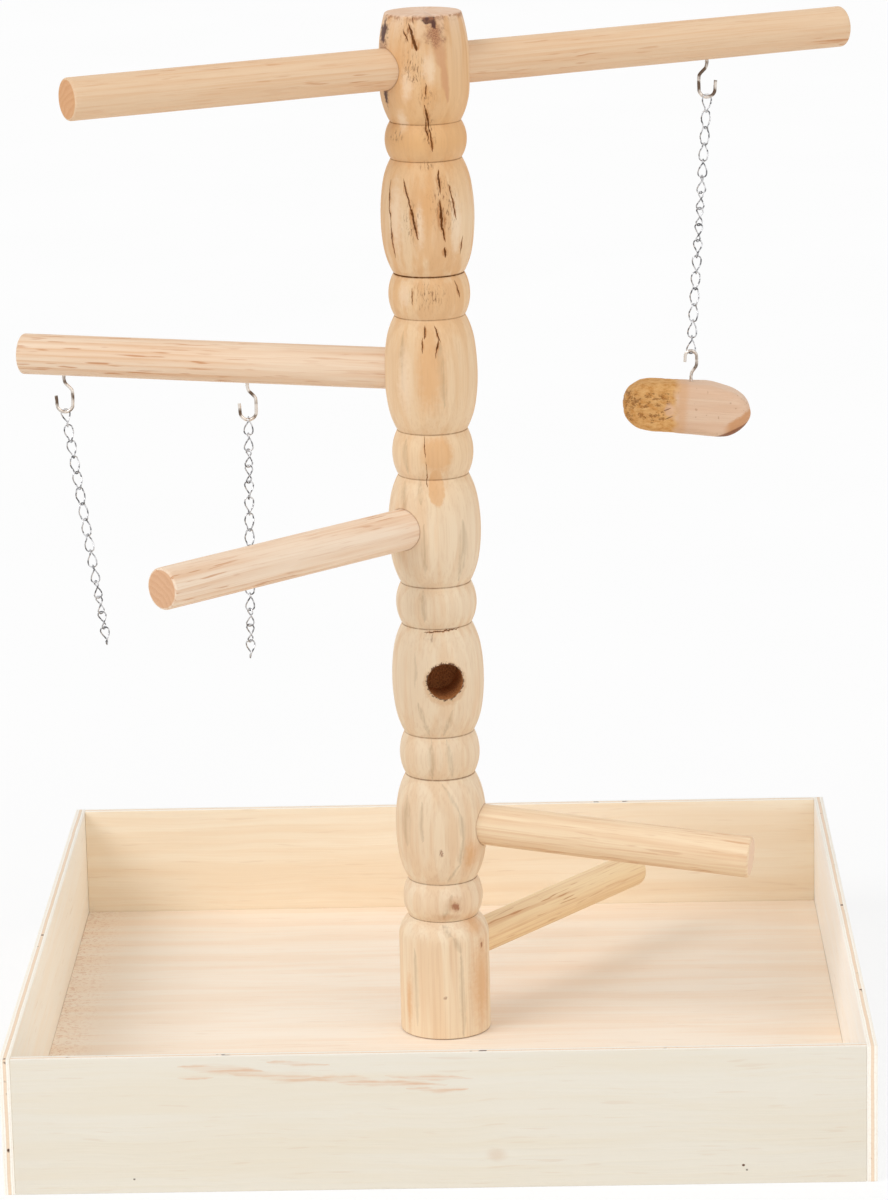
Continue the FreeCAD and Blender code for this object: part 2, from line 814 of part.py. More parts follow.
doc.recompute()
failed = []
for thing in doc.Objects:
    if "Invalid" in thing.State or "Error" in thing.State:
        failed.append(thing.Name)
for node in nodes:
    if node.Shape.isNull() or not node.Shape.isValid() or node.Shape.Volume <= 0:
        failed.append(node.Label)
if failed:
    raise RuntimeError("not built: " + ", ".join(failed))

os.makedirs("parts", exist_ok=True)
for node in nodes:
    node.Shape.exportStep(os.path.join("parts", node.Label + ".step"))
    print(node.Label, len(node.Shape.Solids), round(node.Shape.Volume, 1))
for label, pivot, axis in hinges:
    print("hinge", label, [round(number, 3) for number in (*pivot, *axis)])
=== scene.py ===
import math

import bmesh
import bpy
from bpy.props import FloatProperty, FloatVectorProperty, IntProperty, PointerProperty
from bpy.types import Operator, Panel, PropertyGroup
from mathutils import Matrix, Vector, noise


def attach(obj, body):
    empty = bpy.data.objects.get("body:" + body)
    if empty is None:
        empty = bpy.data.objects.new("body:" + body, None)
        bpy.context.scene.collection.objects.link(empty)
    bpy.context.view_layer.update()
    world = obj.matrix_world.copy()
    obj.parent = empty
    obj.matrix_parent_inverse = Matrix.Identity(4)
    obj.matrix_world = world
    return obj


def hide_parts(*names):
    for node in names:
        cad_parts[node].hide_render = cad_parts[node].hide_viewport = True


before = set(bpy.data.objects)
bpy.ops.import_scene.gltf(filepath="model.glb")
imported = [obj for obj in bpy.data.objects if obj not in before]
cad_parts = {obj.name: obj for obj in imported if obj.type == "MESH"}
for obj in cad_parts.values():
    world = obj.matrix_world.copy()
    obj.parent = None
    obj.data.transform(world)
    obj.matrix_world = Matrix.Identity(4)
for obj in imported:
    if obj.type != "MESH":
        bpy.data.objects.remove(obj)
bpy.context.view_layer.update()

# The looks of a parrot play stand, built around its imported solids.  Lengths are worked out in
# millimetres and turned into metres as each mesh is finished; the front of the stand faces -Y.

bl_info = {
    "name": "Parrot play stand",
    "version": (1, 0, 0),
    "blender": (4, 5, 0),
    "location": "View3D > Sidebar > Play stand",
    "description": "Turned post, dowel perches, chains and plywood tray of a play stand",
    "category": "Add Mesh",
}

MM = 0.001

# The tray: half its width, the height and the thickness of its boards.
TRAY_HALF = 254.0
TRAY_HEIGHT = 83.0
BOARD = 6.4
FLOOR_LIFT = 5.4
FLOOR_TOP = FLOOR_LIFT + BOARD

# The turning, from its foot up; its surface is unrolled at WRAP_RADIUS.
GROOVE_RADIUS = 21.5
FOOT_RADIUS = 28.25
FOOT_TOP = 86.9
HEAD_RADIUS = 27.2
BARREL_RADIUS = 28.5
BEAD_SWELL = 3.4
SHOULDER_RISE = 15.4
SHOULDER_INSET = 1.6
WRAP_RADIUS = 28.0
STRETCHES = (
    ("bead", 24.3), ("barrel", 67.9), ("bead", 27.2), ("barrel", 69.4), ("bead", 26.1),
    ("barrel", 68.0), ("bead", 28.0), ("barrel", 70.9), ("bead", 26.3), ("barrel", 70.1),
    ("bead", 22.5),
)

# name, height at the post, heading, droop, start, reach, radius
PERCHES = (
    ("perch_top", 620.45, 29.3, 0.0, -235.0, 298.0, 12.7),
    ("perch_upper_left", 434.15, 163.5, 0.0, 1.0, 268.5, 12.7),
    ("perch_lower_left", 338.8, 225.7, 0.0, 1.0, 224.5, 12.7),
    ("perch_right", 147.85, -13.0, 4.3, 1.0, 197.0, 12.7),
    ("perch_low_back", 60.95, 53.9, 0.0, 1.0, 208.5, 11.1),
)
SPARE_HEADING = -79.5
SPARE_HEIGHT = 244.0

# name, perch, distance along it, half turn
HOOKS = (
    ("hook_left", 1, 241.5, 0.0),
    ("hook_middle", 1, 119.6, 0.0),
    ("hook_right", 0, 199.1, 180.0),
)
HOOK_SHANK = 11.5
HOOK_DROP = 18.5
HOOK_BOW = 5.0

# The screw hooks and the chew block's hook: their middle lines and their threads.
SCREW_HOOK = {"shank": HOOK_SHANK, "neck": 3.0, "run": 8.0, "drop": HOOK_DROP, "bow": HOOK_BOW,
              "tip": 5.4}
SCREW_THREAD = {"radius": 1.0, "pitch": 1.1, "start": -6.0, "stop": -13.4, "depth": 0.24}
TOY_HOOK = {"shank": 12.0, "neck": 4.0, "run": 7.5, "drop": 16.0, "bow": 3.6, "tip": 3.4}
TOY_THREAD = {"radius": 0.9, "pitch": 1.0, "start": -7.0, "stop": -13.6, "depth": 0.22}

# side, hook, lean, turn of each link about the chain; the links hang as they happened to fall
CHAINS = (
    ("left", 0, 7.7, (-88, -62, -66, -50, -56, -44, -34, -24, -14, -4, 12, 32, 52, 72, 88)),
    ("middle", 1, -1.3, (0, 12, 36, 60, 84, 102, 122, 134, 142, 150, 166, 186, 215, 240, 266)),
    ("right", 2, -4.1, (-75, -58, -41, -24, -7, 10, 27, 44, 61, 78, 95, 112, 129, 146, 163, 180)),
)
LINKS_PER_SEGMENT = 3


# ---------------------------------------------------------------- settings

def shade(red, green, blue):
    """A colour as the renderer counts it, from the 0 to 255 numbers of a screen."""
    linear = []
    for level in (red, green, blue):
        level /= 255
        linear.append(level / 12.92 if level <= 0.04045 else ((level + 0.055) / 1.055) ** 2.4)
    return (*linear, 1.0)


def colour_setting(name, description, default):
    return FloatVectorProperty(name=name, description=description, default=default,
                               subtype="COLOR", size=4, min=0.0, max=1.0)


class PLAYSTAND_PG_post(PropertyGroup):
    steps: IntProperty(name="Steps around", description="Facets around the turned post",
                       default=144, min=48, max=200)
    wobble: FloatProperty(name="Wobble", description="How far the turning strays from true",
                          default=0.00012, min=0.0, subtype="DISTANCE", unit="LENGTH")
    warm: colour_setting("Warm wood", "Darker figure of the turning", shade(220, 168, 114))
    scar: colour_setting("Scar", "Dark wood in its drying checks", shade(92, 48, 18))


class PLAYSTAND_PG_perches(PropertyGroup):
    steps: IntProperty(name="Steps around", description="Facets around each dowel",
                       default=64, min=16, max=128)
    ease: FloatProperty(name="Eased ends", description="Rounding of the dowel ends",
                        default=0.0016, min=0.0001, subtype="DISTANCE", unit="LENGTH")
    line: colour_setting("Grain line", "Late wood along the dowels", shade(214, 160, 112))
    dash: colour_setting("Grain dash", "Short dashes in the dowels", shade(196, 132, 84))


class PLAYSTAND_PG_tray(PropertyGroup):
    ease: FloatProperty(name="Eased edges", description="Sanding of the board edges",
                        default=0.0005, min=0.0001, subtype="DISTANCE", unit="LENGTH")
    front: colour_setting("Front board", "Veneer of the front board", shade(230, 223, 209))
    # painted light and shade, partly: the boards are one plywood, and the warmer left and whiter
    # right veneers stand partly for the shade on the left board's inner face and the light on the
    # right board's
    left: colour_setting("Left board", "Veneer of the left board", shade(255, 249, 236))
    right: colour_setting("Right board", "Veneer of the right board", shade(255, 252, 247))
    back: colour_setting("Back board", "Veneer of the back board", shade(250, 236, 213))
    panel: colour_setting("Floor panel", "Veneer of the floor panel", shade(252, 239, 222))
    core: colour_setting("Core", "Inner ply on the board edges", shade(242, 218, 192))


class PLAYSTAND_PG_wire(PropertyGroup):
    hook_wire: FloatProperty(name="Hook wire", description="Thickness of the screw hooks",
                             default=0.0021, min=0.0005, subtype="DISTANCE", unit="LENGTH")
    toy_wire: FloatProperty(name="Toy hook wire", description="Thickness of the block's hook",
                            default=0.0020, min=0.0005, subtype="DISTANCE", unit="LENGTH")
    link_wire: FloatProperty(name="Link wire", description="Thickness of the chain links",
                             default=0.00093, min=0.0003, subtype="DISTANCE", unit="LENGTH")
    bright: colour_setting("Bright plating", "Plated wire of the hooks", shade(228, 218, 208))
    # painted reflection: on the hooks this darker colour, laid on in patches, stands for the dark
    # reflections on the nickel
    dull_and_reflection: colour_setting("Dull plating", "Hook wire where it is rubbed_and_reflecting", shade(112, 94, 80))
    zinc: colour_setting("Zinc", "Plated wire of the chains", shade(206, 206, 208))


class PLAYSTAND_PG_block(PropertyGroup):
    relief: FloatProperty(name="Bark relief", description="Height of the bark over its pits",
                          default=0.0011, min=0.0, subtype="DISTANCE", unit="LENGTH")
    bark: colour_setting("Bark", "Bare rough half", shade(226, 175, 112))
    sawn: colour_setting("Sawn face", "Smooth half", shade(229, 199, 172))


class PLAYSTAND_PG_studio(PropertyGroup):
    air: FloatProperty(name="Sky light", description="Even light from all around",
                       default=0.62, min=0.0)
    key: FloatProperty(name="Key light", description="Soft light from the front left",
                       default=1.14, min=0.0)
    fill: FloatProperty(name="Fill light", description="Softer light from the front right",
                        default=0.64, min=0.0)
    lens: FloatProperty(name="Lens", description="Focal length of the camera",
                        default=143.45, min=10.0, subtype="DISTANCE_CAMERA", unit="CAMERA")
    ground: colour_setting("Floor", "Plain pale floor", shade(250, 250, 250))


class PLAYSTAND_PG_settings(PropertyGroup):
    post: PointerProperty(type=PLAYSTAND_PG_post)
    perches: PointerProperty(type=PLAYSTAND_PG_perches)
    tray: PointerProperty(type=PLAYSTAND_PG_tray)
    wire: PointerProperty(type=PLAYSTAND_PG_wire)
    block: PointerProperty(type=PLAYSTAND_PG_block)
    studio: PointerProperty(type=PLAYSTAND_PG_studio)


# ---------------------------------------------------------------- nodes

def feed(tree, made, inputs):
    """Give each input of a node a number, a colour or another node's output."""
    for key, value in inputs.items():
        if isinstance(value, bpy.types.NodeSocket):
            tree.links.new(value, made.inputs[key])
        else:
            made.inputs[key].default_value = value
    return made


def add(tree, kind, inputs=(), **settings):
    made = tree.nodes.new(kind)
    for name, value in settings.items():
        setattr(made, name, value)
    return feed(tree, made, dict(inputs))


def compute(tree, operation, *values):
    return add(tree, "ShaderNodeMath", enumerate(values), operation=operation).outputs[0]


def times(tree, *values):
    """The product of two or more values."""
    product = values[0]
    for value in values[1:]:
        product = compute(tree, "MULTIPLY", product, value)
    return product


def reckon(tree, operation, *values):
    made = add(tree, "ShaderNodeVectorMath", enumerate(values), operation=operation)
    return made.outputs["Value" if operation in ("DOT_PRODUCT", "LENGTH") else "Vector"]


def stretch(tree, vector, amounts):
    return reckon(tree, "MULTIPLY", vector, amounts)


def scaled(tree, vector, amount):
    return add(tree, "ShaderNodeVectorMath", {0: vector, "Scale": amount},
               operation="SCALE").outputs["Vector"]


def ease(tree, value, low, high, to_low=0.0, to_high=1.0):
    """Carry a value smoothly from one span to another."""
    made = add(tree, "ShaderNodeMapRange",
               {0: value, 1: low, 2: high, 3: to_low, 4: to_high},
               interpolation_type="SMOOTHSTEP")
    return made.outputs[0]


def blend(tree, share, first, second, way="MIX"):
    made = add(tree, "ShaderNodeMix", {0: share, 6: first, 7: second},
               data_type="RGBA", blend_type=way)
    return made.outputs[2]


def speckle(tree, vector, scale, detail=2.0, roughness=0.5):
    """Noise: a value and a colour."""
    return add(tree, "ShaderNodeTexNoise",
               {"Vector": vector, "Scale": scale, "Detail": detail,
                "Roughness": roughness}).outputs


def wander(tree, vector, scale, detail=2.0, roughness=0.5):
    """Noise as a vector that strays to all sides."""
    return reckon(tree, "SUBTRACT", speckle(tree, vector, scale, detail, roughness)[1],
                  (0.5, 0.5, 0.5))


def parts(tree, vector):
    return add(tree, "ShaderNodeSeparateXYZ", {0: vector}).outputs


def tint(tree, colour, tone, share, strength=1.0):
    """Lay a tone over a colour where the share says."""
    return blend(tree, times(tree, share, strength), colour, tone)


def greatest(tree, values):
    best = values[0]
    for value in values[1:]:
        best = compute(tree, "MAXIMUM", best, value)
    return best


def shared_group(name, inputs, outputs):
    """Make a function that fills a node tree give one shared group of that name.

    Each input has its default; None is a vector without one.  The outputs are all values.
    """
    def decorate(fill):
        def give():
            if name in bpy.data.node_groups:
                return bpy.data.node_groups[name]
            tree = bpy.data.node_groups.new(name, "ShaderNodeTree")
            for label, default in inputs.items():
                kind = "NodeSocketFloat" if isinstance(default, float) else "NodeSocketVector"
                socket = tree.interface.new_socket(name=label, in_out="INPUT", socket_type=kind)
                if default is not None:
                    socket.default_value = default
            for label in outputs:
                tree.interface.new_socket(name=label, in_out="OUTPUT",
                                          socket_type="NodeSocketFloat")
            source = tree.nodes.new("NodeGroupInput")
            sink = tree.nodes.new("NodeGroupOutput")
            fill(tree, source.outputs, sink.inputs)
            return tree
        return give
    return decorate


def use(tree, group, **inputs):
    """Place a node group; its inputs are named with underscores for spaces."""
    made = tree.nodes.new("ShaderNodeGroup")
    made.node_tree = group
    named = {key.replace("_", " "): value for key, value in inputs.items()}
    return feed(tree, made, named).outputs


@shared_group(
    "wood fibres",
    {"Place": None, "Scale": 150.0, "Waviness": 0.003},
    ("Figure", "Lines", "Pores"))
def fibre_group(tree, given, wanted):
    """Wood fibres that run along X: broad figure, fine lines and short pores."""
    sway = scaled(tree, wander(tree, stretch(tree, given["Place"], (0.35, 1.0, 1.0)), 22.0),
                  given["Waviness"])
    bent = reckon(tree, "ADD", given["Place"], sway)
    broad = speckle(tree, stretch(tree, bent, (0.06, 1.0, 1.0)), given["Scale"], 3.0, 0.55)
    tree.links.new(ease(tree, broad[0], 0.32, 0.68), wanted["Figure"])
    fine = speckle(tree, stretch(tree, bent, (0.012, 1.0, 1.0)),
                   times(tree, given["Scale"], 7.0), 3.0, 0.6)
    tree.links.new(ease(tree, fine[0], 0.3, 0.7), wanted["Lines"])
    pores = speckle(tree, stretch(tree, bent, (0.07, 1.0, 1.0)),
                    times(tree, given["Scale"], 9.0), 1.0, 0.4)
    tree.links.new(ease(tree, pores[0], 0.66, 0.78), wanted["Pores"])


@shared_group(
    "growth rings",
    {"Place": None, "Pith": (0.0, 0.0, 0.0), "Spacing": 0.004, "Wander": 0.003},
    ("Ring",))
def ring_group(tree, given, wanted):
    """Growth rings around an upright pith: a slow rise of tone and a sharp late-wood line."""
    from_pith = reckon(tree, "SUBTRACT", given["Place"], given["Pith"])
    drift = scaled(tree, wander(tree, stretch(tree, given["Place"], (1.0, 1.0, 0.16)), 28.0),
                   given["Wander"])
    flat = stretch(tree, reckon(tree, "ADD", from_pith, drift), (1.0, 1.0, 0.03))
    turns = compute(tree, "DIVIDE", reckon(tree, "LENGTH", flat), given["Spacing"])
    share = compute(tree, "FRACT", turns)
    rise = ease(tree, share, 0.1, 0.86)
    fall = ease(tree, share, 0.9, 1.0, 1.0, 0.0)
    tree.links.new(times(tree, rise, fall), wanted["Ring"])


@shared_group(
    "drying check",
    {"Place": None, "Start": (0.0, 0.0, 0.0), "End": (0.0, 0.01, 0.0), "Width": 0.0005,
     "Soft": 0.55},
    ("Mask", "Stain"))
def check_group(tree, given, wanted):
    """A drying check or a streak: a tapered line between two points on the surface."""
    from_start = reckon(tree, "SUBTRACT", given["Place"], given["Start"])
    run = reckon(tree, "SUBTRACT", given["End"], given["Start"])
    share = compute(tree, "DIVIDE", reckon(tree, "DOT_PRODUCT", from_start, run),
                    reckon(tree, "DOT_PRODUCT", run, run))
    share = compute(tree, "MAXIMUM", compute(tree, "MINIMUM", share, 1.0), 0.0)
    gap = reckon(tree, "LENGTH", reckon(tree, "SUBTRACT", from_start, scaled(tree, run, share)))
    taper = compute(tree, "SUBTRACT", share, 0.5)
    taper = times(tree, taper, taper, 3.4)
    width = times(tree, compute(tree, "SUBTRACT", 1.0, taper), given["Width"])
    inner = compute(tree, "SUBTRACT", 1.0, given["Soft"])
    gap = compute(tree, "DIVIDE", gap, width)
    tree.links.new(ease(tree, gap, inner, 1.0, 1.0, 0.0), wanted["Mask"])
    tree.links.new(ease(tree, gap, 0.5, 3.6, 1.0, 0.0), wanted["Stain"])


@shared_group(
    "wood patch",
    {"Place": None, "Centre": (0.0, 0.0, 0.0), "Reach": (0.005, 0.005, 0.005), "Edge": 0.5,
     "Ragged": 0.5, "Soft": 0.4},
    ("Mask",))
def patch_group(tree, given, wanted):
    """A soft-edged patch around one point: a knot or a stain; Edge frays its outline."""
    away = reckon(tree, "DIVIDE", reckon(tree, "SUBTRACT", given["Place"], given["Centre"]),
                  given["Reach"])
    edge = times(tree, compute(tree, "SUBTRACT", given["Edge"], 0.5), given["Ragged"])
    gap = compute(tree, "ADD", reckon(tree, "LENGTH", away), edge)
    inner = compute(tree, "SUBTRACT", 1.0, given["Soft"])
    tree.links.new(ease(tree, gap, inner, 1.0, 1.0, 0.0), wanted["Mask"])


@shared_group(
    "socket rim",
    {"Place": None, "Level": (0.0, 0.0, 0.0), "Heading": (1.0, 0.0, 0.0), "Radius": 0.012,
     "Edge": 0.5, "Fray": 0.001, "Width": 0.0008},
    ("Mask",))
def socket_group(tree, given, wanted):
    """The rim of a drilled socket: how near a place is to the edge of the hole."""
    from_level = reckon(tree, "SUBTRACT", given["Place"], given["Level"])
    gap = reckon(tree, "LENGTH", reckon(tree, "CROSS_PRODUCT", from_level, given["Heading"]))
    fray = times(tree, compute(tree, "SUBTRACT", given["Edge"], 0.5), given["Fray"])
    gap = compute(tree, "SUBTRACT", compute(tree, "ADD", gap, fray), given["Radius"])
    near = ease(tree, compute(tree, "DIVIDE", gap, given["Width"]), 0.35, 1.0, 1.0, 0.0)
    ahead = ease(tree, reckon(tree, "DOT_PRODUCT", from_level, given["Heading"]), 0.0, 0.004)
    tree.links.new(times(tree, near, ahead), wanted["Mask"])


@shared_group("plies", {"Depth": 0.0, "Place": None}, ("Core", "Glue", "Void"))
def ply_group(tree, given, wanted):
    """The plies that show on the edge of plywood: core bands and glue lines."""
    sway = speckle(tree, given["Place"], 40.0)[0]
    depth = compute(tree, "ADD", given["Depth"],
                    times(tree, compute(tree, "SUBTRACT", sway, 0.5), 0.12))
    from_middle = compute(tree, "ABSOLUTE", compute(tree, "SUBTRACT", depth, 0.5))
    core = ease(tree, from_middle, 0.10, 0.16, 1.0, 0.0)
    tree.links.new(core, wanted["Core"])
    inner = ease(tree, compute(tree, "ABSOLUTE", compute(tree, "SUBTRACT", from_middle, 0.13)),
                 0.0, 0.035, 1.0, 0.0)
    outer = ease(tree, compute(tree, "ABSOLUTE", compute(tree, "SUBTRACT", from_middle, 0.33)),
                 0.0, 0.03, 0.8, 0.0)
    tree.links.new(compute(tree, "MAXIMUM", inner, outer), wanted["Glue"])
    holes = speckle(tree, given["Place"], 150.0, 1.0, 0.4)[0]
    tree.links.new(times(tree, core, ease(tree, holes, 0.70, 0.76)), wanted["Void"])


@shared_group("rubbed_and_reflecting plating", {"Place": None, "Scale": 300.0}, ("Dull_and_reflection", "Pits"))
def plating_and_reflection_group(tree, given, wanted):
    """Plating with broad darker stretches and fine pits; on the hooks and chains the darker
    stretches are painted dark reflections.
    """
    broad = speckle(tree, given["Place"], given["Scale"])[0]
    tree.links.new(ease(tree, broad, 0.42, 0.62), wanted["Dull_and_reflection"])
    fine = speckle(tree, given["Place"], times(tree, given["Scale"], 8.0), 2.0, 0.6)
    tree.links.new(fine[0], wanted["Pits"])


def new_material(name, shine=0.5):
    """An empty material; gives it, its tree and its finished surface shader."""
    material = bpy.data.materials.new(name)
    material.use_nodes = True
    tree = material.node_tree
    tree.nodes.clear()
    surface = tree.nodes.new("ShaderNodeBsdfPrincipled")
    output = tree.nodes.new("ShaderNodeOutputMaterial")
    tree.links.new(surface.outputs[0], output.inputs["Surface"])
    surface.inputs["Specular IOR Level"].default_value = shine
    return material, tree, surface


def paint(tree, surface, colour, roughness):
    tree.links.new(colour, surface.inputs["Base Color"])
    tree.links.new(roughness, surface.inputs["Roughness"])


def relief(tree, surface, height, distance, strength=1.0):
    bump = add(tree, "ShaderNodeBump",
               {"Strength": strength, "Distance": distance, "Height": height})
    tree.links.new(bump.outputs[0], surface.inputs["Normal"])


def object_place(tree):
    return tree.nodes.new("ShaderNodeTexCoord").outputs["Object"]


def attribute(tree, name, output="Vector"):
    return add(tree, "ShaderNodeAttribute", attribute_name=name).outputs[output]


# ---------------------------------------------------------------- meshes

def finish_piece(name, shape, materials, body, stands_for, sharp=40.0):
    """Turn a bmesh or a mesh into a finished piece that rides on a body of the stand."""
    if isinstance(shape, bmesh.types.BMesh):
        mesh = bpy.data.meshes.new(name)
        shape.to_mesh(mesh)
        shape.free()
    else:
        mesh = shape
        mesh.name = name
    mesh.shade_smooth()
    mesh.set_sharp_from_angle(angle=math.radians(sharp))
    mesh.materials.clear()
    for material in materials:
        mesh.materials.append(material)
    made = bpy.data.objects.new(name, mesh)
    bpy.context.scene.collection.objects.link(made)
    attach(made, body)
    for node in stands_for:
        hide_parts(node)
    return made


def spun(profile, axis, steps):
    """A closed turning: a chain of points, from the axis back to the axis, spun right round."""
    shape = bmesh.new()
    corners = [shape.verts.new(point) for point in profile]
    edges = [shape.edges.new(pair) for pair in zip(corners, corners[1:])]
    bmesh.ops.spin(shape, geom=corners + edges, cent=(0, 0, 0), axis=axis,
                   angle=2 * math.pi, steps=steps, use_merge=True, use_duplicate=False)
    bmesh.ops.remove_doubles(shape, verts=shape.verts[:], dist=1e-6)
    bmesh.ops.recalc_face_normals(shape, faces=shape.faces[:])
    return shape


def keep(mesh, name, values, kind="FLOAT_VECTOR", field="vector", domain="POINT"):
    """Store one value for each point or face of a mesh, for its material to read."""
    layer = mesh.attributes.new(name, kind, domain)
    for spot, value in zip(layer.data, values):
        setattr(spot, field, value)


def arc(start, stop, radius, count):
    """Points after start along an arc that turns left on its way to stop."""
    start, stop = Vector(start), Vector(stop)
    chord = stop - start
    side = Vector((-chord.y, chord.x)).normalized()
    rest = max(radius * radius - chord.length_squared / 4, 0.0)
    centre = (start + stop) / 2 + side * math.sqrt(rest)
    first = math.atan2(start.y - centre.y, start.x - centre.x)
    last = math.atan2(stop.y - centre.y, stop.x - centre.x)
    if last < first:
        last += 2 * math.pi
    points = []
    for number in range(1, count + 1):
        angle = first + (last - first) * number / count
        points.append((centre.x + radius * math.cos(angle),
                       centre.y + radius * math.sin(angle)))
    return points


def arc_radius(rise, run):
    return (rise * rise + run * run) / (run * 2)


def bow_radius(chord, height):
    return (chord * chord / 4 + height * height) / (height * 2)


# ---------------------------------------------------------------- turned post

# Ground colour of the wood by height in mm: yellow at the foot, pale in the middle, gold above.
TONES = (
    (0, (245, 226, 197)), (80, (244, 225, 197)), (100, (243, 223, 195)),
    (150, (239, 217, 187)), (250, (236, 214, 184)), (340, (236, 213, 182)),
    (385, (235, 204, 165)), (440, (234, 204, 166)), (482, (232, 194, 149)),
    (530, (234, 204, 166)), (576, (225, 176, 121)), (600, (228, 185, 136)),
    (640, (229, 192, 150)), (653.3, (230, 196, 162)),
)

# Each is heading from the front and height of one end, the same of the other, and half width,
# in degrees and mm.
CHECKS = (
    (-19.5, 649.0, -9.0, 636.0, 1.0),
    (-12.5, 641.0, -8.0, 633.0, 1.4),
    (-26.0, 646.0, -19.0, 638.0, 0.4),
    (-14.0, 654.0, -12.0, 648.0, 0.4),
    (2.0, 614.0, 3.0, 606.0, 0.5),
    (1.2, 600.6, 6.5, 586.0, 0.9),
    (6.5, 586.0, 11.1, 571.7, 0.6),
    (0.0, 594.0, 5.5, 577.0, 0.4),
    (-54.6, 553.9, -50.0, 528.0, 0.45),
    (-50.0, 530.0, -47.5, 506.7, 0.5),
    (-31.0, 556.0, -20.0, 538.0, 0.5),
    (-21.0, 541.0, -11.1, 519.0, 0.85),
    (17.7, 560.8, 18.4, 547.0, 0.7),
    (17.0, 543.0, 19.9, 521.5, 1.15),
    (18.0, 531.0, 22.5, 517.0, 0.6),
    (23.0, 514.0, 24.0, 508.0, 0.9),
    (30.4, 552.5, 33.0, 543.0, 0.5),
    (33.0, 545.0, 38.7, 530.5, 0.5),
    (50.0, 520.0, 47.0, 508.0, 0.5),
    (-12.2, 398.0, -9.5, 384.0, 0.24),
    (-8.5, 382.0, -9.0, 366.0, 0.24),
    (44.0, 492.0, 48.0, 482.0, 0.6),
    (-24.0, 489.0, -23.0, 478.0, 0.3),
    (-7.0, 466.0, -5.0, 458.0, 0.55),
    (-8.0, 459.0, -9.0, 449.0, 0.35),
    (8.0, 466.0, 14.0, 456.0, 0.55),
    (12.0, 458.0, 8.0, 447.0, 0.35),
    (-20.0, 274.2, 40.0, 275.2, 0.35),
)
STREAKS = (
    (-50.0, 368.0, -40.0, 350.0, 2.2),
    (-22.0, 372.0, -16.0, 356.0, 1.6),
    (40.0, 345.0, 37.0, 306.0, 2.4),
    (-12.0, 344.0, -13.0, 312.0, 1.6),
    (12.0, 460.0, 17.0, 415.0, 1.4),
    (-40.0, 462.0, -34.0, 425.0, 1.8),
    (-44.0, 395.0, -40.0, 374.0, 1.8),
    (-30.0, 262.0, -28.0, 240.0, 0.8),
    (-20.0, 300.0, -17.0, 281.0, 2.0),
    (-26.0, 230.0, -14.0, 207.0, 1.2),
    (20.0, 225.0, 8.0, 208.0, 1.3),
    (-12.0, 205.0, -11.0, 180.0, 1.5),
    (12.0, 205.0, 20.0, 181.0, 1.5),
    (4.0, 177.0, 26.0, 160.0, 1.0),
    (26.0, 160.0, 31.0, 140.0, 1.5),
    (31.0, 142.0, 24.0, 124.0, 1.6),
    (24.0, 125.0, 8.0, 112.5, 1.0),
    (-52.0, 168.0, -48.0, 136.0, 3.0),
    (-26.0, 166.0, -24.0, 140.0, 1.0),
    (-2.0, 85.5, 12.0, 79.0, 1.5),
    (12.0, 79.5, 22.7, 68.0, 1.5),
    (22.7, 69.0, 25.0, 12.0, 1.3),
    (-40.0, 70.0, -38.0, 20.0, 1.6),
    (14.0, 105.0, 2.0, 90.0, 1.8),
)
PINK_STREAKS = (
    (17.0, 646.0, 26.0, 620.0, 5.6),
    (24.0, 630.0, 32.0, 600.6, 3.4),
)

# heading, height, half width, half height, ragged, soft
KNOTS = (
    (10.0, 651.0, 6.0, 3.0, 1.6, 0.4),
    (16.0, 648.0, 2.4, 4.0, 1.4, 0.5),
    (-66.0, 643.0, 6.5, 9.0, 1.8, 0.6),
    (-58.0, 605.0, 3.0, 8.0, 1.6, 0.7),
)
RED_KNOTS = (
    (19.0, 97.4, 3.6, 3.0, 1.8, 0.6),
    (56.0, 70.0, 1.4, 3.0, 1.4, 0.6),
)
HALOS = (
    (16.0, 642.0, 9.0, 10.0, 1.6, 0.8),
    (-66.0, 630.0, 9.0, 22.0, 1.6, 0.8),
    (1.0, 39.0, 1.6, 1.6, 1.2, 0.7),
    (0.0, 134.0, 1.6, 3.0, 1.2, 0.7),
)
SOFT_HALOS = (
    (17.0, 98.5, 9.0, 8.0, 0.8, 0.95),
    (8.0, 90.5, 14.0, 4.5, 0.8, 0.95),
    (56.0, 70.0, 4.0, 7.0, 0.8, 0.95),
    (16.0, 642.0, 14.0, 18.0, 0.8, 0.95),
)
WARM_PATCHES = (
    (-30.0, 620.0, 10.0, 30.0, 0.7, 0.9),
    (8.0, 606.0, 10.0, 12.0, 1.0, 0.8),
    (2.0, 540.0, 13.0, 26.0, 0.8, 0.9),
    (0.0, 438.0, 12.0, 36.0, 0.5, 0.7),
    (8.0, 386.0, 14.0, 14.0, 0.4, 0.45),
    (5.0, 366.0, 6.5, 13.0, 0.4, 0.25),
    (56.0, 45.0, 15.0, 46.0, 0.6, 0.9),
    (52.0, 84.0, 12.0, 12.0, 0.6, 0.9),
    (42.0, 130.0, 9.0, 15.0, 0.6, 0.9),
    (-52.0, 35.0, 4.0, 26.0, 0.6, 0.9),
)
PALE_PATCHES = (
    (-22.0, 612.0, 6.0, 15.0, 1.0, 0.9),
    (7.0, 622.0, 6.0, 15.0, 1.0, 0.9),
    (-42.0, 532.0, 8.0, 30.0, 1.0, 0.9),
    (-8.0, 528.0, 4.0, 20.0, 1.0, 0.9),
    (40.0, 526.0, 6.0, 26.0, 1.0, 0.9),
    (-34.0, 432.0, 7.0, 30.0, 1.0, 0.9),
    (-36.0, 484.0, 7.0, 12.0, 1.0, 0.9),
    (-36.0, 590.0, 7.0, 10.0, 1.0, 0.9),
)
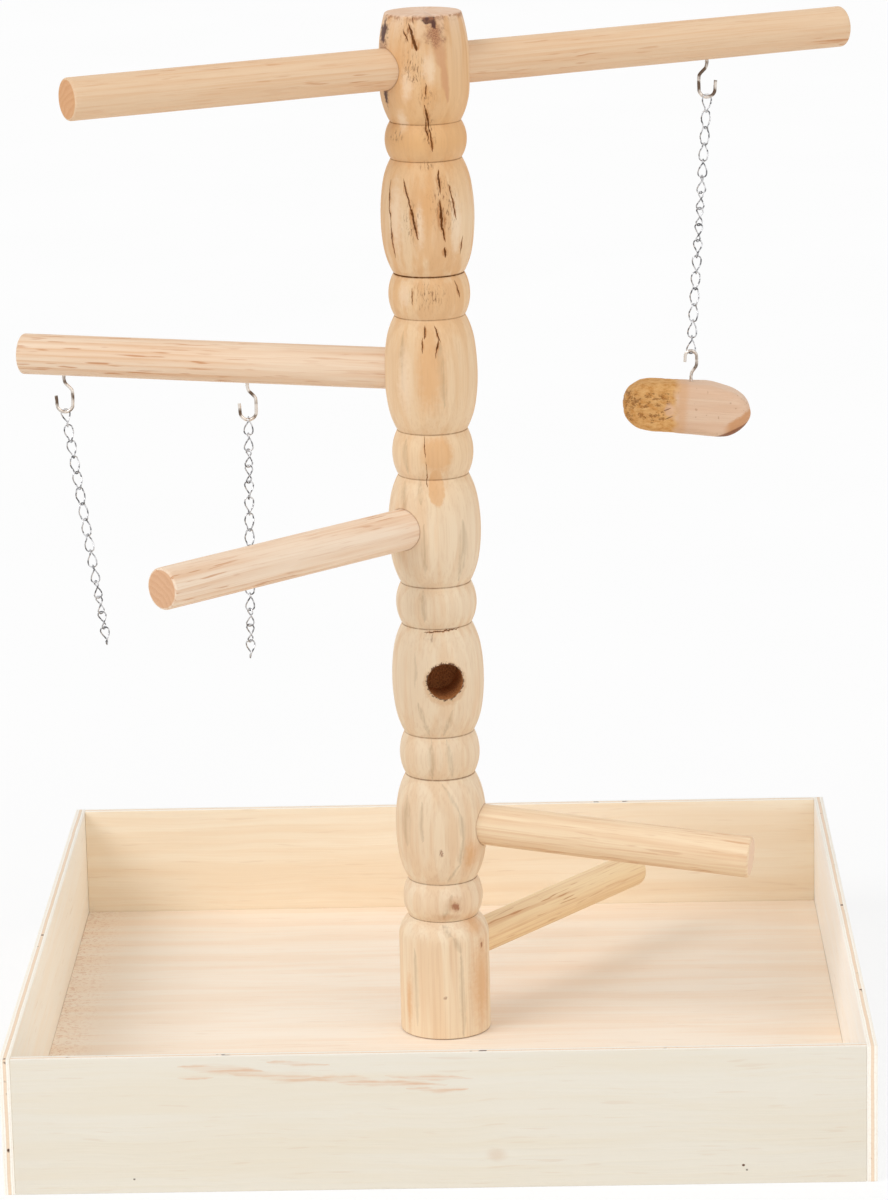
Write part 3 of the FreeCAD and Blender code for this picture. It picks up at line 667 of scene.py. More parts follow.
# where the wood has many short dark checks
CHECKED_PATCHES = (
    (-22.0, 645.0, 9.0, 9.0, 1.2, 0.9),
    (-14.0, 622.0, 12.0, 16.0, 1.2, 0.9),
    (4.0, 604.0, 8.0, 8.0, 1.2, 0.9),
    (6.0, 584.0, 8.0, 14.0, 1.2, 0.9),
    (-45.0, 580.0, 10.0, 6.0, 1.2, 0.9),
    (4.0, 563.0, 9.0, 4.0, 1.2, 0.9),
    (24.0, 540.0, 13.0, 24.0, 1.2, 0.9),
    (-18.0, 530.0, 8.0, 18.0, 1.2, 0.9),
    (0.0, 484.0, 18.0, 12.0, 1.2, 0.9),
    (-10.0, 272.0, 6.0, 5.0, 1.2, 0.9),
)


def turned_outline():
    """Half outline of the turning, (radius, height) in mm, from its foot to its top."""
    groove, foot, head = GROOVE_RADIUS, FOOT_RADIUS, HEAD_RADIUS
    eased, cove, top = 0.7, 14.0, FOOT_TOP
    bottom = FLOOR_TOP + eased
    points = [(0.0, FLOOR_TOP), (foot - eased, FLOOR_TOP), (foot, bottom)]
    for number in range(1, 25):
        points.append((foot, bottom + (top - cove - bottom) * number / 24))
    points += arc(points[-1], (groove, top), arc_radius(cove, foot - groove), 14)
    for kind, height in STRETCHES:
        low, top = top, top + height
        if kind == "bead":
            points += arc((groove, low), (groove, top), bow_radius(height, BEAD_SWELL), 18)
            continue
        rise, inset, half = SHOULDER_RISE, SHOULDER_INSET, height / 2
        shoulder = BARREL_RADIUS - inset
        belly = bow_radius(height - rise * 2, inset)
        run = shoulder - groove
        offset = (run * (belly - inset) - rise * (half - rise)) / belly
        flank = (rise * rise + run * run) / (offset * 2)
        points += arc((groove, low), (shoulder, low + rise), flank, 12)
        points += arc((shoulder, low + rise), (shoulder, top - rise), belly, 20)
        points += arc((shoulder, top - rise), (groove, top), flank, 12)
    neck, waist, dome, eased = top + 22.0, top + 38.0, top + 64.1, 1.6
    rim = head - 3.7
    points += arc((groove, top), (head, neck), arc_radius(neck - top, head - groove), 14)
    for number in range(1, 9):
        points.append((head, neck + 2 * number))
    points += arc((head, waist), (rim, dome), arc_radius(dome - waist, head - rim), 14)
    points += arc((rim, dome), (rim - eased, dome + eased), eased, 4)
    for number in range(1, 8):
        points.append(((rim - eased) * (1 - number / 7), dome + eased))
    return points


def knife_lines(points):
    """Narrow each groove between two swellings to the sharp line that a turner's knife cuts."""
    grooves = [FOOT_TOP]
    for _, height in STRETCHES:
        grooves.append(grooves[-1] + height)
    cut = []
    for radius, height in points:
        if radius > 1 and any(abs(height - groove) < 1e-6 for groove in grooves):
            cut += [(radius + 0.15, height - 0.5), (radius - 0.7, height),
                    (radius + 0.15, height + 0.5)]
        else:
            cut.append((radius, height))
    return cut


def wrap_surface(mesh):
    """Unroll a turning into a UV map: arc length around it, and height, with its seam behind."""
    layer = mesh.uv_layers.new(name="wrap")
    half_turn = math.pi * WRAP_RADIUS * MM
    for polygon in mesh.polygons:
        around = []
        for index in polygon.vertices:
            spot = mesh.vertices[index].co
            around.append(math.atan2(spot.x, -spot.y) * WRAP_RADIUS * MM)
        crosses = max(around) - min(around) > half_turn
        for loop, index, reach in zip(polygon.loop_indices, polygon.vertices, around):
            if crosses and reach < 0:
                reach += 2 * half_turn
            layer.data[loop].uv = (reach, mesh.vertices[index].co.z)


def drill(target, holes, segments=96):
    """Cut round holes in an object; each is a middle, a heading, a radius and a depth."""
    shape = bmesh.new()
    for middle, heading, radius, depth in holes:
        turn = heading.to_track_quat("Z", "Y").to_matrix().to_4x4()
        bmesh.ops.create_cone(shape, cap_ends=True, segments=segments, radius1=radius,
                              radius2=radius, depth=depth,
                              matrix=Matrix.Translation(middle) @ turn)
    for face in shape.faces:
        face.material_index = 1
    mesh = bpy.data.meshes.new("drill")
    shape.to_mesh(mesh)
    shape.free()
    bit = bpy.data.objects.new("drill", mesh)
    bpy.context.scene.collection.objects.link(bit)
    cut = target.modifiers.new("sockets", "BOOLEAN")
    cut.operation = "DIFFERENCE"
    cut.solver = "EXACT"
    cut.object = bit
    graph = bpy.context.evaluated_depsgraph_get()
    drilled = bpy.data.meshes.new_from_object(target.evaluated_get(graph))
    target.modifiers.clear()
    target.data = drilled
    bpy.data.objects.remove(bit)
    bpy.data.meshes.remove(mesh)


def heading_vector(azimuth, droop=0.0):
    turn = math.radians(azimuth)
    fall = math.radians(droop)
    return Vector((math.cos(turn) * math.cos(fall), math.sin(turn) * math.cos(fall),
                   -math.sin(fall)))


def unrolled(heading, height):
    return (math.radians(heading) * WRAP_RADIUS * MM, height * MM, 0.0)


def marks(tree, place, edge, spots):
    """The union of several patches of the turning."""
    masks = []
    for heading, level, wide, tall, ragged, soft in spots:
        masks.append(use(tree, patch_group(), Place=place, Centre=unrolled(heading, level),
                         Reach=(wide * MM, tall * MM, 1.0), Edge=edge, Ragged=ragged,
                         Soft=soft)["Mask"])
    return greatest(tree, masks)


def lines(tree, place, runs, soft, wider=1.0, outputs=("Mask",)):
    """The union of several checks or streaks of the turning, for each output asked for."""
    made = []
    for first, high, last, low, width in runs:
        made.append(use(tree, check_group(), Place=place, Start=unrolled(first, high),
                        End=unrolled(last, low), Width=width * wider * MM, Soft=soft))
    return [greatest(tree, [one[output] for one in made]) for output in outputs]


def height_tones(tree, height):
    """The ground colour of the post at each height."""
    ramp = add(tree, "ShaderNodeValToRGB",
               {0: compute(tree, "DIVIDE", height, TONES[-1][0] * MM)})
    stops = ramp.color_ramp.elements
    stops[0].color = shade(*TONES[0][1])
    stops[1].color = shade(*TONES[-1][1])
    for level, tone in TONES[1:-1]:
        stops.new(level / TONES[-1][0]).color = shade(*tone)
    return ramp.outputs[0]


def post_figure(tree, place, height, grain, warm_wood, warm_patches):
    """Ground colour at each height, with the broad figure, the growth rings and fine lines."""
    rings = use(tree, ring_group(), Place=place, Pith=(0.034, 0.052, 0.0), Spacing=0.0066,
                Wander=0.008)
    figured = times(tree, ease(tree, grain["Figure"], 0.2, 0.95),
                    ease(tree, height, 0.44, 0.50, 0.24, 0.62))
    colour = blend(tree, figured, height_tones(tree, height), warm_wood)
    colour = tint(tree, colour, shade(222, 168, 112), warm_patches, 0.65)
    colour = tint(tree, colour, shade(196, 146, 100), rings["Ring"], 0.10)
    return blend(tree, ease(tree, grain["Lines"], 0.45, 1.0, 0.0, 0.14), colour,
                 shade(196, 148, 106))


def post_stains(tree, colour, bent, edge, speck, fibres):
    """Streaks, pale and reddish wood, and the halos around the knots."""
    streaked, = lines(tree, bent, STREAKS, 0.98, 2.3)
    streaked = times(tree, streaked, ease(tree, fibres, 0.1, 0.7, 0.5, 1.0), 0.30)
    colour = blend(tree, streaked, colour, shade(154, 130, 98))
    pink, = lines(tree, bent, PINK_STREAKS, 0.7)
    colour = tint(tree, colour, shade(204, 148, 108), pink, 0.62)
    pale = marks(tree, bent, edge, PALE_PATCHES)
    colour = tint(tree, colour, shade(243, 217, 186), pale, 0.6)
    soft_halo = marks(tree, bent, edge, SOFT_HALOS)
    colour = tint(tree, colour, shade(200, 146, 98), soft_halo, 0.5)
    halo = times(tree, marks(tree, bent, edge, HALOS),
                 ease(tree, speck, 0.42, 0.58, 0.25, 0.9))
    colour = blend(tree, halo, colour, shade(142, 90, 66))
    red = marks(tree, bent, edge, RED_KNOTS)
    return tint(tree, colour, shade(150, 80, 46), red, 0.7)


def post_checks(tree, colour, flat, bent, edge, fibres, scar):
    """Short dark dashes, drying checks with a stain beside them, and knots."""
    dashes = speckle(tree, stretch(tree, bent, (1.0, 0.16, 1.0)), 1150.0, 3.0, 0.65)[0]
    dashes = times(tree, ease(tree, dashes, 0.54, 0.64),
                   marks(tree, flat, edge, CHECKED_PATCHES))
    colour = tint(tree, colour, shade(140, 88, 50), dashes, 0.75)
    cracked, stained = lines(tree, bent, CHECKS, 0.6, 1.0, ("Mask", "Stain"))
    stained = times(tree, stained, ease(tree, fibres, 0.2, 0.8, 0.3, 0.8))
    colour = blend(tree, stained, colour, shade(186, 118, 58))
    knotted = marks(tree, bent, edge, KNOTS)
    colour = tint(tree, colour, shade(68, 30, 28), knotted, 0.92)
    return tint(tree, colour, scar, cracked, 0.92), dashes, cracked


def post_socket_shade_and_rims(tree, colour, place, flat, edge):
    """Painted shade in the gaps round the perches' sockets, and the ragged rim of the empty one.
    """
    for _, level, azimuth, droop, start, _, radius in PERCHES:
        for way in (1, -1) if start < 0 else (1,):
            # painted shade: a brown ring round each perch where it enters the post, for the shade
            # in the gap of its socket
            rim = use(tree, socket_group(), Place=place, Level=(0.0, 0.0, level * MM),
                      Heading=tuple(heading_vector(azimuth, droop) * way),
                      Radius=radius * MM, Edge=edge, Fray=0.0006, Width=0.0009)["Mask"]
            colour = tint(tree, colour, shade(160, 108, 64), rim, 0.4)
    heading = tuple(heading_vector(SPARE_HEADING))
    scraped = use(tree, socket_group(), Place=place, Level=(0.0, 0.0, 0.2425), Heading=heading,
                  Radius=0.0112, Edge=edge, Fray=0.006, Width=0.0034)["Mask"]
    colour = tint(tree, colour, shade(206, 160, 112), scraped, 0.45)
    fray = speckle(tree, flat, 520.0, 4.0, 0.75)[0]
    torn = use(tree, socket_group(), Place=place, Level=(0.0, 0.0, SPARE_HEIGHT * MM),
               Heading=heading, Radius=0.0109, Edge=fray, Fray=0.0085, Width=0.0011)["Mask"]
    return tint(tree, colour, shade(84, 46, 22), torn, 0.9)


def post_ends(tree, colour, height, speck, edge):
    """A painted contact shadow, a dark line where the foot stands on the floor, and end grain
    with a frayed rim on top.
    """
    # painted shadow: a dark brown band round the bottom of the foot, where it meets the tray
    # floor
    foot_contact_shadow = ease(tree, height, 0.0121, 0.0128, 0.75, 0.0)
    colour = blend(tree, foot_contact_shadow, colour, shade(128, 82, 44))
    on_top = ease(tree, height, 0.6521, 0.6529)
    top_tone = blend(tree, ease(tree, speck, 0.5, 0.75, 0.0, 0.5), shade(232, 200, 174),
                     shade(190, 140, 104))
    colour = tint(tree, colour, top_tone, on_top, 0.7)
    frayed = times(tree, ease(tree, height, 0.6485, 0.6520),
                   ease(tree, height, 0.6527, 0.6531, 1.0, 0.3),
                   ease(tree, edge, 0.42, 0.62, 0.0, 0.75))
    return blend(tree, frayed, colour, shade(158, 104, 70))


def groove_burn_and_shade_mask(tree, place, height, edge):
    """The knife grooves: the burnt lines of the turning, with painted shade deep in the grooves.
    """
    radius = reckon(tree, "LENGTH", stretch(tree, place, (1.0, 1.0, 0.0)))
    return times(tree, ease(tree, radius, 0.0213, 0.0219, 1.0, 0.0),
                 ease(tree, height, 0.64, 0.645, 1.0, 0.0), ease(tree, height, 0.07, 0.075),
                 ease(tree, edge, 0.3, 0.6, 0.65, 1.0))


def post_material(settings):
    material, tree, surface = new_material("post_wood")
    place = object_place(tree)
    height = parts(tree, place)[2]
    flat = add(tree, "ShaderNodeUVMap", uv_map="wrap").outputs[0]
    sway = wander(tree, stretch(tree, flat, (1.0, 0.6, 1.0)), 170.0, 3.0, 0.65)
    bent = reckon(tree, "ADD", flat, stretch(tree, sway, (0.0042, 0.0042, 0.0)))
    edge = speckle(tree, flat, 300.0, 3.0, 0.65)[0]
    speck = speckle(tree, flat, 1500.0, 2.0, 0.7)[0]
    upright = add(tree, "ShaderNodeMapping",
                  {"Vector": place, "Rotation": (0.0, math.pi / 2, 0.0)}).outputs[0]
    grain = use(tree, fibre_group(), Place=upright, Scale=120.0, Waviness=0.006)
    fibres = grain["Lines"]
    colour = post_figure(tree, place, height, grain, tuple(settings.warm),
                         marks(tree, bent, edge, WARM_PATCHES))
    colour = post_stains(tree, colour, bent, edge, speck, fibres)
    colour, dashes, cracked = post_checks(tree, colour, flat, bent, edge, fibres,
                                          tuple(settings.scar))
    colour = post_socket_shade_and_rims(tree, colour, place, flat, edge)
    colour = post_ends(tree, colour, height, speck, edge)
    groove_burn_and_shade = groove_burn_and_shade_mask(tree, place, height, edge)
    # dark brown in the knife grooves: partly the burnt lines, partly painted shade in the recess
    colour = tint(tree, colour, shade(112, 66, 28), groove_burn_and_shade, 0.95)
    paint(tree, surface, colour, ease(tree, grain["Figure"], 0.0, 1.0, 0.50, 0.64))
    matt = compute(tree, "MAXIMUM", cracked, groove_burn_and_shade)
    tree.links.new(ease(tree, matt, 0.0, 0.6, 0.3, 0.0), surface.inputs["Specular IOR Level"])
    bumps = compute(tree, "ADD", times(tree, fibres, 0.10), times(tree, dashes, -0.5))
    relief(tree, surface, compute(tree, "SUBTRACT", bumps, cracked), 0.0005)
    return material


def shaded_socket_material():
    """Drilled wood inside the sockets, painted dark brown for the shade deep in the holes."""
    material, tree, surface = new_material("shaded_socket_wood", 0.1)
    place = object_place(tree)
    fuzz = speckle(tree, place, 900.0, 3.0, 0.7)[0]
    # painted shade: a dark brown for the shade inside the drilled holes
    colour = blend(tree, ease(tree, fuzz, 0.3, 0.7), shade(152, 92, 50), shade(206, 142, 88))
    tree.links.new(colour, surface.inputs["Base Color"])
    surface.inputs["Roughness"].default_value = 0.9
    relief(tree, surface, fuzz, 0.0006)
    return material


class PLAYSTAND_OT_post(Operator):
    """Spin the turned post, cut its knife lines and drill its sockets"""
    bl_idname = "playstand.post"
    bl_label = "Turned post"

    def execute(self, context):
        settings = context.scene.play_stand.post
        outline = [(radius * MM, 0.0, height * MM)
                   for radius, height in knife_lines(turned_outline())]
        shape = spun(outline, (0, 0, 1), settings.steps)
        for vert in shape.verts:
            away = Vector((vert.co.x, vert.co.y, 0.0))
            if away.length < 0.005:
                continue
            stray = noise.noise(Vector((vert.co.x * 18, vert.co.y * 18, vert.co.z * 60)))
            vert.co += away.normalized() * stray * settings.wobble
        made = finish_piece("post_turning", shape, [post_material(settings), shaded_socket_material()],
                            "stand", ["post"], 28.0)
        wrap_surface(made.data)
        holes = []
        for _, level, azimuth, droop, start, _, radius in PERCHES:
            ahead = heading_vector(azimuth, droop)
            base = Vector((0, 0, level))
            first, last = (-40.0, 40.0) if start < 0 else (1.0, 40.0)
            middle = (base + ahead * (first + last) / 2) * MM
            holes.append((middle, ahead, (radius + 0.17) * MM, (last - first) * MM))
        ahead = heading_vector(SPARE_HEADING)
        middle = (Vector((0, 0, SPARE_HEIGHT)) + ahead * 21.0) * MM
        holes.append((middle, ahead, 11.15 * MM, 39.0 * MM))
        drill(made, holes)
        made.data.name = "post_turning"
        return {"FINISHED"}


# ---------------------------------------------------------------- perches

# Each dowel has its own ground colour and its own place in the plank that it was cut from.
GROUNDS = (shade(230, 198, 163), shade(238, 213, 186), shade(243, 221, 197),
           shade(245, 221, 187), shade(249, 221, 177))
# what shows on the sawn ends
END_GROUNDS = (shade(212, 154, 100), shade(228, 190, 154), shade(219, 172, 134),
               shade(248, 220, 190), shade(236, 202, 162))
PITHS = ((0.016, 0.022), (-0.02, 0.034), (0.011, 0.017), (-0.009, 0.019), (0.014, -0.012))


def dowel_material(settings):
    material, tree, surface = new_material("dowel_wood", 0.28)
    place = attribute(tree, "grain")
    ground = attribute(tree, "ground", "Color")
    at_end = attribute(tree, "end_face", "Fac")
    grain = use(tree, fibre_group(), Place=place, Scale=150.0, Waviness=0.003)
    colour = blend(tree, ease(tree, grain["Figure"], 0.2, 1.0, 0.0, 0.24), ground,
                   shade(224, 178, 136))
    # long growth lines where the dowel was cut across the rings of its plank
    drift = stretch(tree, wander(tree, stretch(tree, place, (0.05, 1.0, 1.0)), 60.0),
                    (0.0, 0.009, 0.009))
    across = stretch(tree, reckon(tree, "ADD", place, drift), (0.0, 1.0, 1.0))
    turns = compute(tree, "DIVIDE", reckon(tree, "LENGTH", across), 0.0042)
    share = compute(tree, "FRACT", turns)
    faint = speckle(tree, stretch(tree, place, (0.12, 1.0, 1.0)), 45.0)[0]
    line = times(tree, ease(tree, share, 0.35, 0.92), ease(tree, share, 0.94, 1.0, 1.0, 0.0),
                 ease(tree, faint, 0.36, 0.62, 0.12, 0.95))
    colour = tint(tree, colour, tuple(settings.line), line, 0.42)
    colour = blend(tree, ease(tree, grain["Lines"], 0.45, 1.0, 0.0, 0.22), colour,
                   tuple(settings.line))
    dashes = speckle(tree, stretch(tree, place, (0.07, 1.0, 1.0)), 620.0, 1.0, 0.4)[0]
    dashes = times(tree, ease(tree, dashes, 0.62, 0.72),
                   ease(tree, faint, 0.4, 0.6, 0.2, 1.0))
    colour = tint(tree, colour, tuple(settings.dash), dashes, 0.75)
    end_tone = blend(tree, ease(tree, share, 0.2, 0.95, 0.05, 0.6), shade(228, 184, 146),
                     shade(198, 140, 100))
    pits = speckle(tree, place, 1900.0, 2.0, 0.6)[0]
    end_tone = blend(tree, ease(tree, pits, 0.54, 0.7, 0.0, 0.5), end_tone, shade(176, 118, 80))
    end_tone = blend(tree, 0.6, end_tone, ground)
    colour = blend(tree, at_end, colour, end_tone)
    paint(tree, surface, colour, ease(tree, grain["Lines"], 0.0, 1.0, 0.5, 0.68))
    height = compute(tree, "SUBTRACT", times(tree, grain["Lines"], 0.3),
                     times(tree, dashes, 0.5))
    relief(tree, surface, height, 0.0002)
    return material


def dowel_outline(start, reach, radius, eased):
    """Half outline of a dowel, (along, out) in mm, with both ends rounded over."""
    flat = radius - eased
    turns = [math.radians(90 * step / 4) for step in range(5)]
    tip = [(0.0, 0.0), (0.0, flat * 0.35), (0.0, flat * 0.7)]
    tip += [(eased * (1 - math.cos(turn)), flat + eased * math.sin(turn)) for turn in turns]
    count = max(8, round((reach - start) / 4))
    straight = reach - start - eased * 2
    return ([(start + along, out) for along, out in tip]
            + [(start + eased + straight * step / count, radius) for step in range(1, count)]
            + [(reach - along, out) for along, out in reversed(tip)])


class PLAYSTAND_OT_perches(Operator):
    """Make the five dowel perches with eased ends"""
    bl_idname = "playstand.perches"
    bl_label = "Dowel perches"

    def execute(self, context):
        settings = context.scene.play_stand.perches
        material = dowel_material(settings)
        eased = settings.ease / MM
        for number, (name, level, azimuth, droop, start, reach, radius) in enumerate(PERCHES):
            profile = [(along * MM, 0.0, out * MM)
                       for along, out in dowel_outline(start, reach, radius, eased)]
            shape = spun(profile, (1, 0, 0), settings.steps)
            home = []
            offset = Vector((1.3 * number, *PITHS[number]))
            for vert in shape.verts:
                home.append(vert.co + offset)
                away = Vector((0.0, vert.co.y, vert.co.z))
                if away.length > (radius - eased) * MM * 0.9:
                    stray = noise.noise(Vector((vert.co.x * 14 + number * 5,
                                                vert.co.y * 60, vert.co.z * 60)))
                    vert.co += away.normalized() * stray * 0.00012
            shape.faces.ensure_lookup_table()
            limits = (start * MM + 1e-5, reach * MM - 1e-5)
            ends = []
            for face in shape.faces:
                along = [vert.co.x for vert in face.verts]
                ends.append(float(max(along) < limits[0] or min(along) > limits[1]))
            tones = []
            for vert in shape.verts:
                sawn = vert.co.x < limits[0] or vert.co.x > limits[1]
                tones.append((END_GROUNDS if sawn else GROUNDS)[number])
            turn = (Matrix.Rotation(math.radians(azimuth), 4, "Z")
                    @ Matrix.Rotation(math.radians(droop), 4, "Y"))
            bmesh.ops.transform(shape, verts=shape.verts[:],
                                matrix=Matrix.Translation((0, 0, level * MM)) @ turn)
            made = finish_piece(name + "_dowel", shape, [material], "stand",
                                [name], 50.0)
            keep(made.data, "grain", home)
            keep(made.data, "ground", tones, "FLOAT_COLOR", "color")
            keep(made.data, "end_face", ends, "FLOAT", "value", "FACE")
        return {"FINISHED"}


# ---------------------------------------------------------------- tray

INSIDE = TRAY_HALF - BOARD
FITTED = INSIDE - 0.05

# name, low corner, high corner, axis of the length, axis of the thickness
BOARDS = (
    ("tray_side_left", (-TRAY_HALF, -TRAY_HALF, 0.0), (-INSIDE, TRAY_HALF, TRAY_HEIGHT), 1, 0),
    ("tray_side_right", (INSIDE, -TRAY_HALF, 0.0), (TRAY_HALF, TRAY_HALF, TRAY_HEIGHT), 1, 0),
    ("tray_front", (-FITTED, -TRAY_HALF, 0.0), (FITTED, -INSIDE, TRAY_HEIGHT), 0, 1),
    ("tray_back", (-FITTED, INSIDE, 0.0), (FITTED, TRAY_HALF, TRAY_HEIGHT), 0, 1),
    ("tray_floor", (-FITTED, -FITTED, FLOOR_LIFT), (FITTED, FITTED, FLOOR_TOP), 0, 2),
)


def plank_material(name, face_tone, streak, core, extra=None):
    """Plywood: veneer on its faces and plies on its edges; extra adds marks of its own."""
    material, tree, surface = new_material(name, 0.25)
    place = attribute(tree, "plank")
    length, depth, across = parts(tree, place)
    along = add(tree, "ShaderNodeCombineXYZ", {0: length, 2: across}).outputs[0]
    grain = use(tree, fibre_group(), Place=along, Scale=55.0, Waviness=0.012)
    colour = blend(tree, ease(tree, grain["Figure"], 0.1, 1.0, 0.0, 0.42), face_tone, streak)
    colour = blend(tree, ease(tree, grain["Lines"], 0.4, 1.0, 0.0, 0.24), colour, streak)
    colour = tint(tree, colour, shade(206, 168, 132), grain["Pores"], 0.16)
    if extra:
        colour = extra(tree, colour, object_place(tree))
    plies = use(tree, ply_group(), Depth=depth, Place=object_place(tree))
    edge_grain = speckle(tree, object_place(tree), 700.0, 3.0, 0.7)[0]
    edge = blend(tree, plies["Core"], shade(254, 249, 238), core)
    edge = blend(tree, ease(tree, edge_grain, 0.45, 0.8, 0.0, 0.25), edge, shade(218, 182, 148))
    edge = tint(tree, edge, shade(192, 148, 112), plies["Glue"], 0.34)
    edge = blend(tree, plies["Void"], edge, shade(84, 54, 36))
    from_face = compute(tree, "ABSOLUTE", compute(tree, "SUBTRACT", depth, 0.5))
    on_edge = ease(tree, from_face, 0.40, 0.47, 1.0, 0.0)
    colour = blend(tree, on_edge, colour, edge)
    paint(tree, surface, colour, ease(tree, grain["Figure"], 0.0, 1.0, 0.55, 0.7))
    relief(tree, surface, compute(tree, "ADD", times(tree, grain["Lines"], 0.4),
                                  times(tree, edge_grain, on_edge)), 0.00018)
    return material


# Marks on the outside of the front board, in mm: from (across, up) to (across, up), half width.
FRONT_STREAKS = (
    (-150.0, 77.0, -98.0, 73.0, 1.6), (-120.0, 73.0, -60.0, 67.0, 1.8),
    (-75.0, 70.0, -30.0, 66.0, 1.5), (-60.0, 67.0, 4.0, 64.0, 1.3),
    (-30.0, 70.0, 20.0, 67.0, 1.0), (-100.0, 79.0, -62.0, 77.0, 0.8),
    (-150.0, 71.0, -128.0, 70.0, 0.7), (-20.0, 62.0, 16.0, 60.5, 0.8),
)


def front_marks(tree, colour, place):
    """Pink-brown streaks near the top, a faint knot and a nail hole on the front board."""
    long = stretch(tree, place, (0.4, 1.0, 1.0))
    edge = speckle(tree, long, 110.0, 3.0, 0.6)[0]
    drift = stretch(tree, wander(tree, long, 110.0, 3.0, 0.6), (0.02, 0.0, 0.006))
    face = stretch(tree, reckon(tree, "ADD", place, drift), (1.0, 0.0, 1.0))
    masks = []
    for left, high, right, low, width in FRONT_STREAKS:
        masks.append(use(tree, check_group(), Place=face, Start=(left * MM, 0.0, high * MM),
                         End=(right * MM, 0.0, low * MM), Width=width * 2.4 * MM,
                         Soft=0.98)["Mask"])
    fine = speckle(tree, stretch(tree, place, (26.0, 0.0, 760.0)), 1.0, 3.0, 0.6)[0]
    outer = ease(tree, parts(tree, place)[1], -0.2525, -0.2515, 1.0, 0.0)
    share = times(tree, greatest(tree, masks), ease(tree, fine, 0.4, 0.6, 0.25, 1.0), outer)
    colour = tint(tree, colour, shade(218, 172, 136), share, 0.7)
    knot = use(tree, patch_group(), Place=place, Centre=(0.033, -0.254, 0.020),
               Reach=(0.008, 0.02, 0.005), Edge=edge, Ragged=1.0, Soft=0.9)["Mask"]
    colour = tint(tree, colour, shade(206, 166, 130), knot, 0.28)
    hole = use(tree, patch_group(), Place=place, Centre=(0.176, -0.254, 0.0115),
               Reach=(0.0011, 0.004, 0.0009), Edge=edge, Ragged=0.6, Soft=0.4)["Mask"]
    return blend(tree, hole, colour, shade(104, 72, 52))


def floor_marks(tree, colour, place):
    """Saw dust and orange crumbs that lie on the tray floor, thickest at its left."""
    across, back = parts(tree, place)[:2]
    near = ease(tree, across, -0.2476, -0.212, 1.0, 0.0)
    front = ease(tree, back, -0.2, -0.02, 1.0, 0.35)
    crumbs = speckle(tree, place, 330.0, 3.0, 0.75)[0]
    crumbs = times(tree, ease(tree, crumbs, 0.53, 0.57), near, front)
    dust = ease(tree, speckle(tree, place, 900.0, 2.0, 0.6)[0], 0.68, 0.74)
    share = compute(tree, "MAXIMUM", crumbs, times(tree, dust, 0.12))
    return tint(tree, colour, shade(198, 130, 74), share, 0.9)


BRAD_LENGTH = 19.0


def brad_places():
    """Each brad as its axis, the side that it is driven from, and where."""
    edge = TRAY_HALF - BOARD / 2
    places = []
    for end in (-1, 1):
        for side in (-1, 1):
            for level in (TRAY_HEIGHT / 4, TRAY_HEIGHT * 3 / 4):
                places.append((0, side, edge * end, level))
            for axis in (0, 1):
                places.append((axis, side, 178.0 * end, FLOOR_LIFT + BOARD / 2))
    return places


class PLAYSTAND_OT_tray(Operator):
    """Make the four boards and the floor panel of the tray, and the brads that pin them"""
    bl_idname = "playstand.tray"
    bl_label = "Plywood tray"

    def execute(self, context):
        settings = context.scene.play_stand.tray
        core = tuple(settings.core)
        finishes = {
            # the left and right boards' tones are partly painted shade and painted light on their
            # inner faces
            "tray_side_left": plank_material("left_plywood_shaded_tone", tuple(settings.left),
                                             shade(252, 238, 217), core),
            "tray_side_right": plank_material("right_plywood_lit_tone", tuple(settings.right),
                                              shade(252, 243, 230), core),
            "tray_front": plank_material("front_plywood", tuple(settings.front),
                                         shade(228, 216, 194), core, front_marks),
            "tray_back": plank_material("back_plywood", tuple(settings.back),
                                        shade(242, 217, 184), core),
            "tray_floor": plank_material("floor_plywood", tuple(settings.panel),
                                         shade(246, 220, 193), core, floor_marks),
        }
        for number, (name, low, high, length, thick) in enumerate(BOARDS):
            shape = bmesh.new()
            bmesh.ops.create_cube(shape, size=1.0)
            low, high = Vector(low) * MM, Vector(high) * MM
            bmesh.ops.scale(shape, verts=shape.verts[:], vec=high - low)
            bmesh.ops.translate(shape, verts=shape.verts[:], vec=(low + high) / 2)
            if name == "tray_floor":
                for vert in shape.verts:
                    inwards = 0.03 * MM
                    vert.co.x -= math.copysign(inwards, vert.co.x)
                    vert.co.y -= math.copysign(inwards, vert.co.y)
            bmesh.ops.bevel(shape, geom=shape.edges[:], offset=settings.ease,
                            offset_type="OFFSET", segments=3, profile=0.5, affect="EDGES",
                            material=-1)
            other = 3 - length - thick
            home = []
            for vert in shape.verts:
                depth = (vert.co[thick] - low[thick]) / (high[thick] - low[thick])
                home.append((vert.co[length] + 0.9 * number, depth,
                             vert.co[other] + 0.37 * number))
            made = finish_piece(name + "_board", shape, [finishes[name]], "stand",
                                [name], 60.0)
            keep(made.data, "plank", home)
        shape = bmesh.new()
        for axis, out, along, level in brad_places():
            size = Vector((1.3, 1.3, 1.1))
            size[axis] = BRAD_LENGTH
            middle = Vector((along, along, level))
            middle[axis] = out * (TRAY_HALF - BRAD_LENGTH / 2 + 0.06)
            made = bmesh.ops.create_cube(shape, size=1.0)["verts"]
            bmesh.ops.scale(shape, verts=made, vec=size * MM)
            bmesh.ops.translate(shape, verts=made, vec=middle * MM)
        bmesh.ops.bevel(shape, geom=shape.edges[:], offset=0.15 * MM, offset_type="OFFSET",
                        segments=2, profile=0.5, affect="EDGES", material=-1)
        finish_piece("tray_brad_pins", shape, [brad_material()], "stand",
                     ["tray_brads"])
        return {"FINISHED"}


# ---------------------------------------------------------------- metal

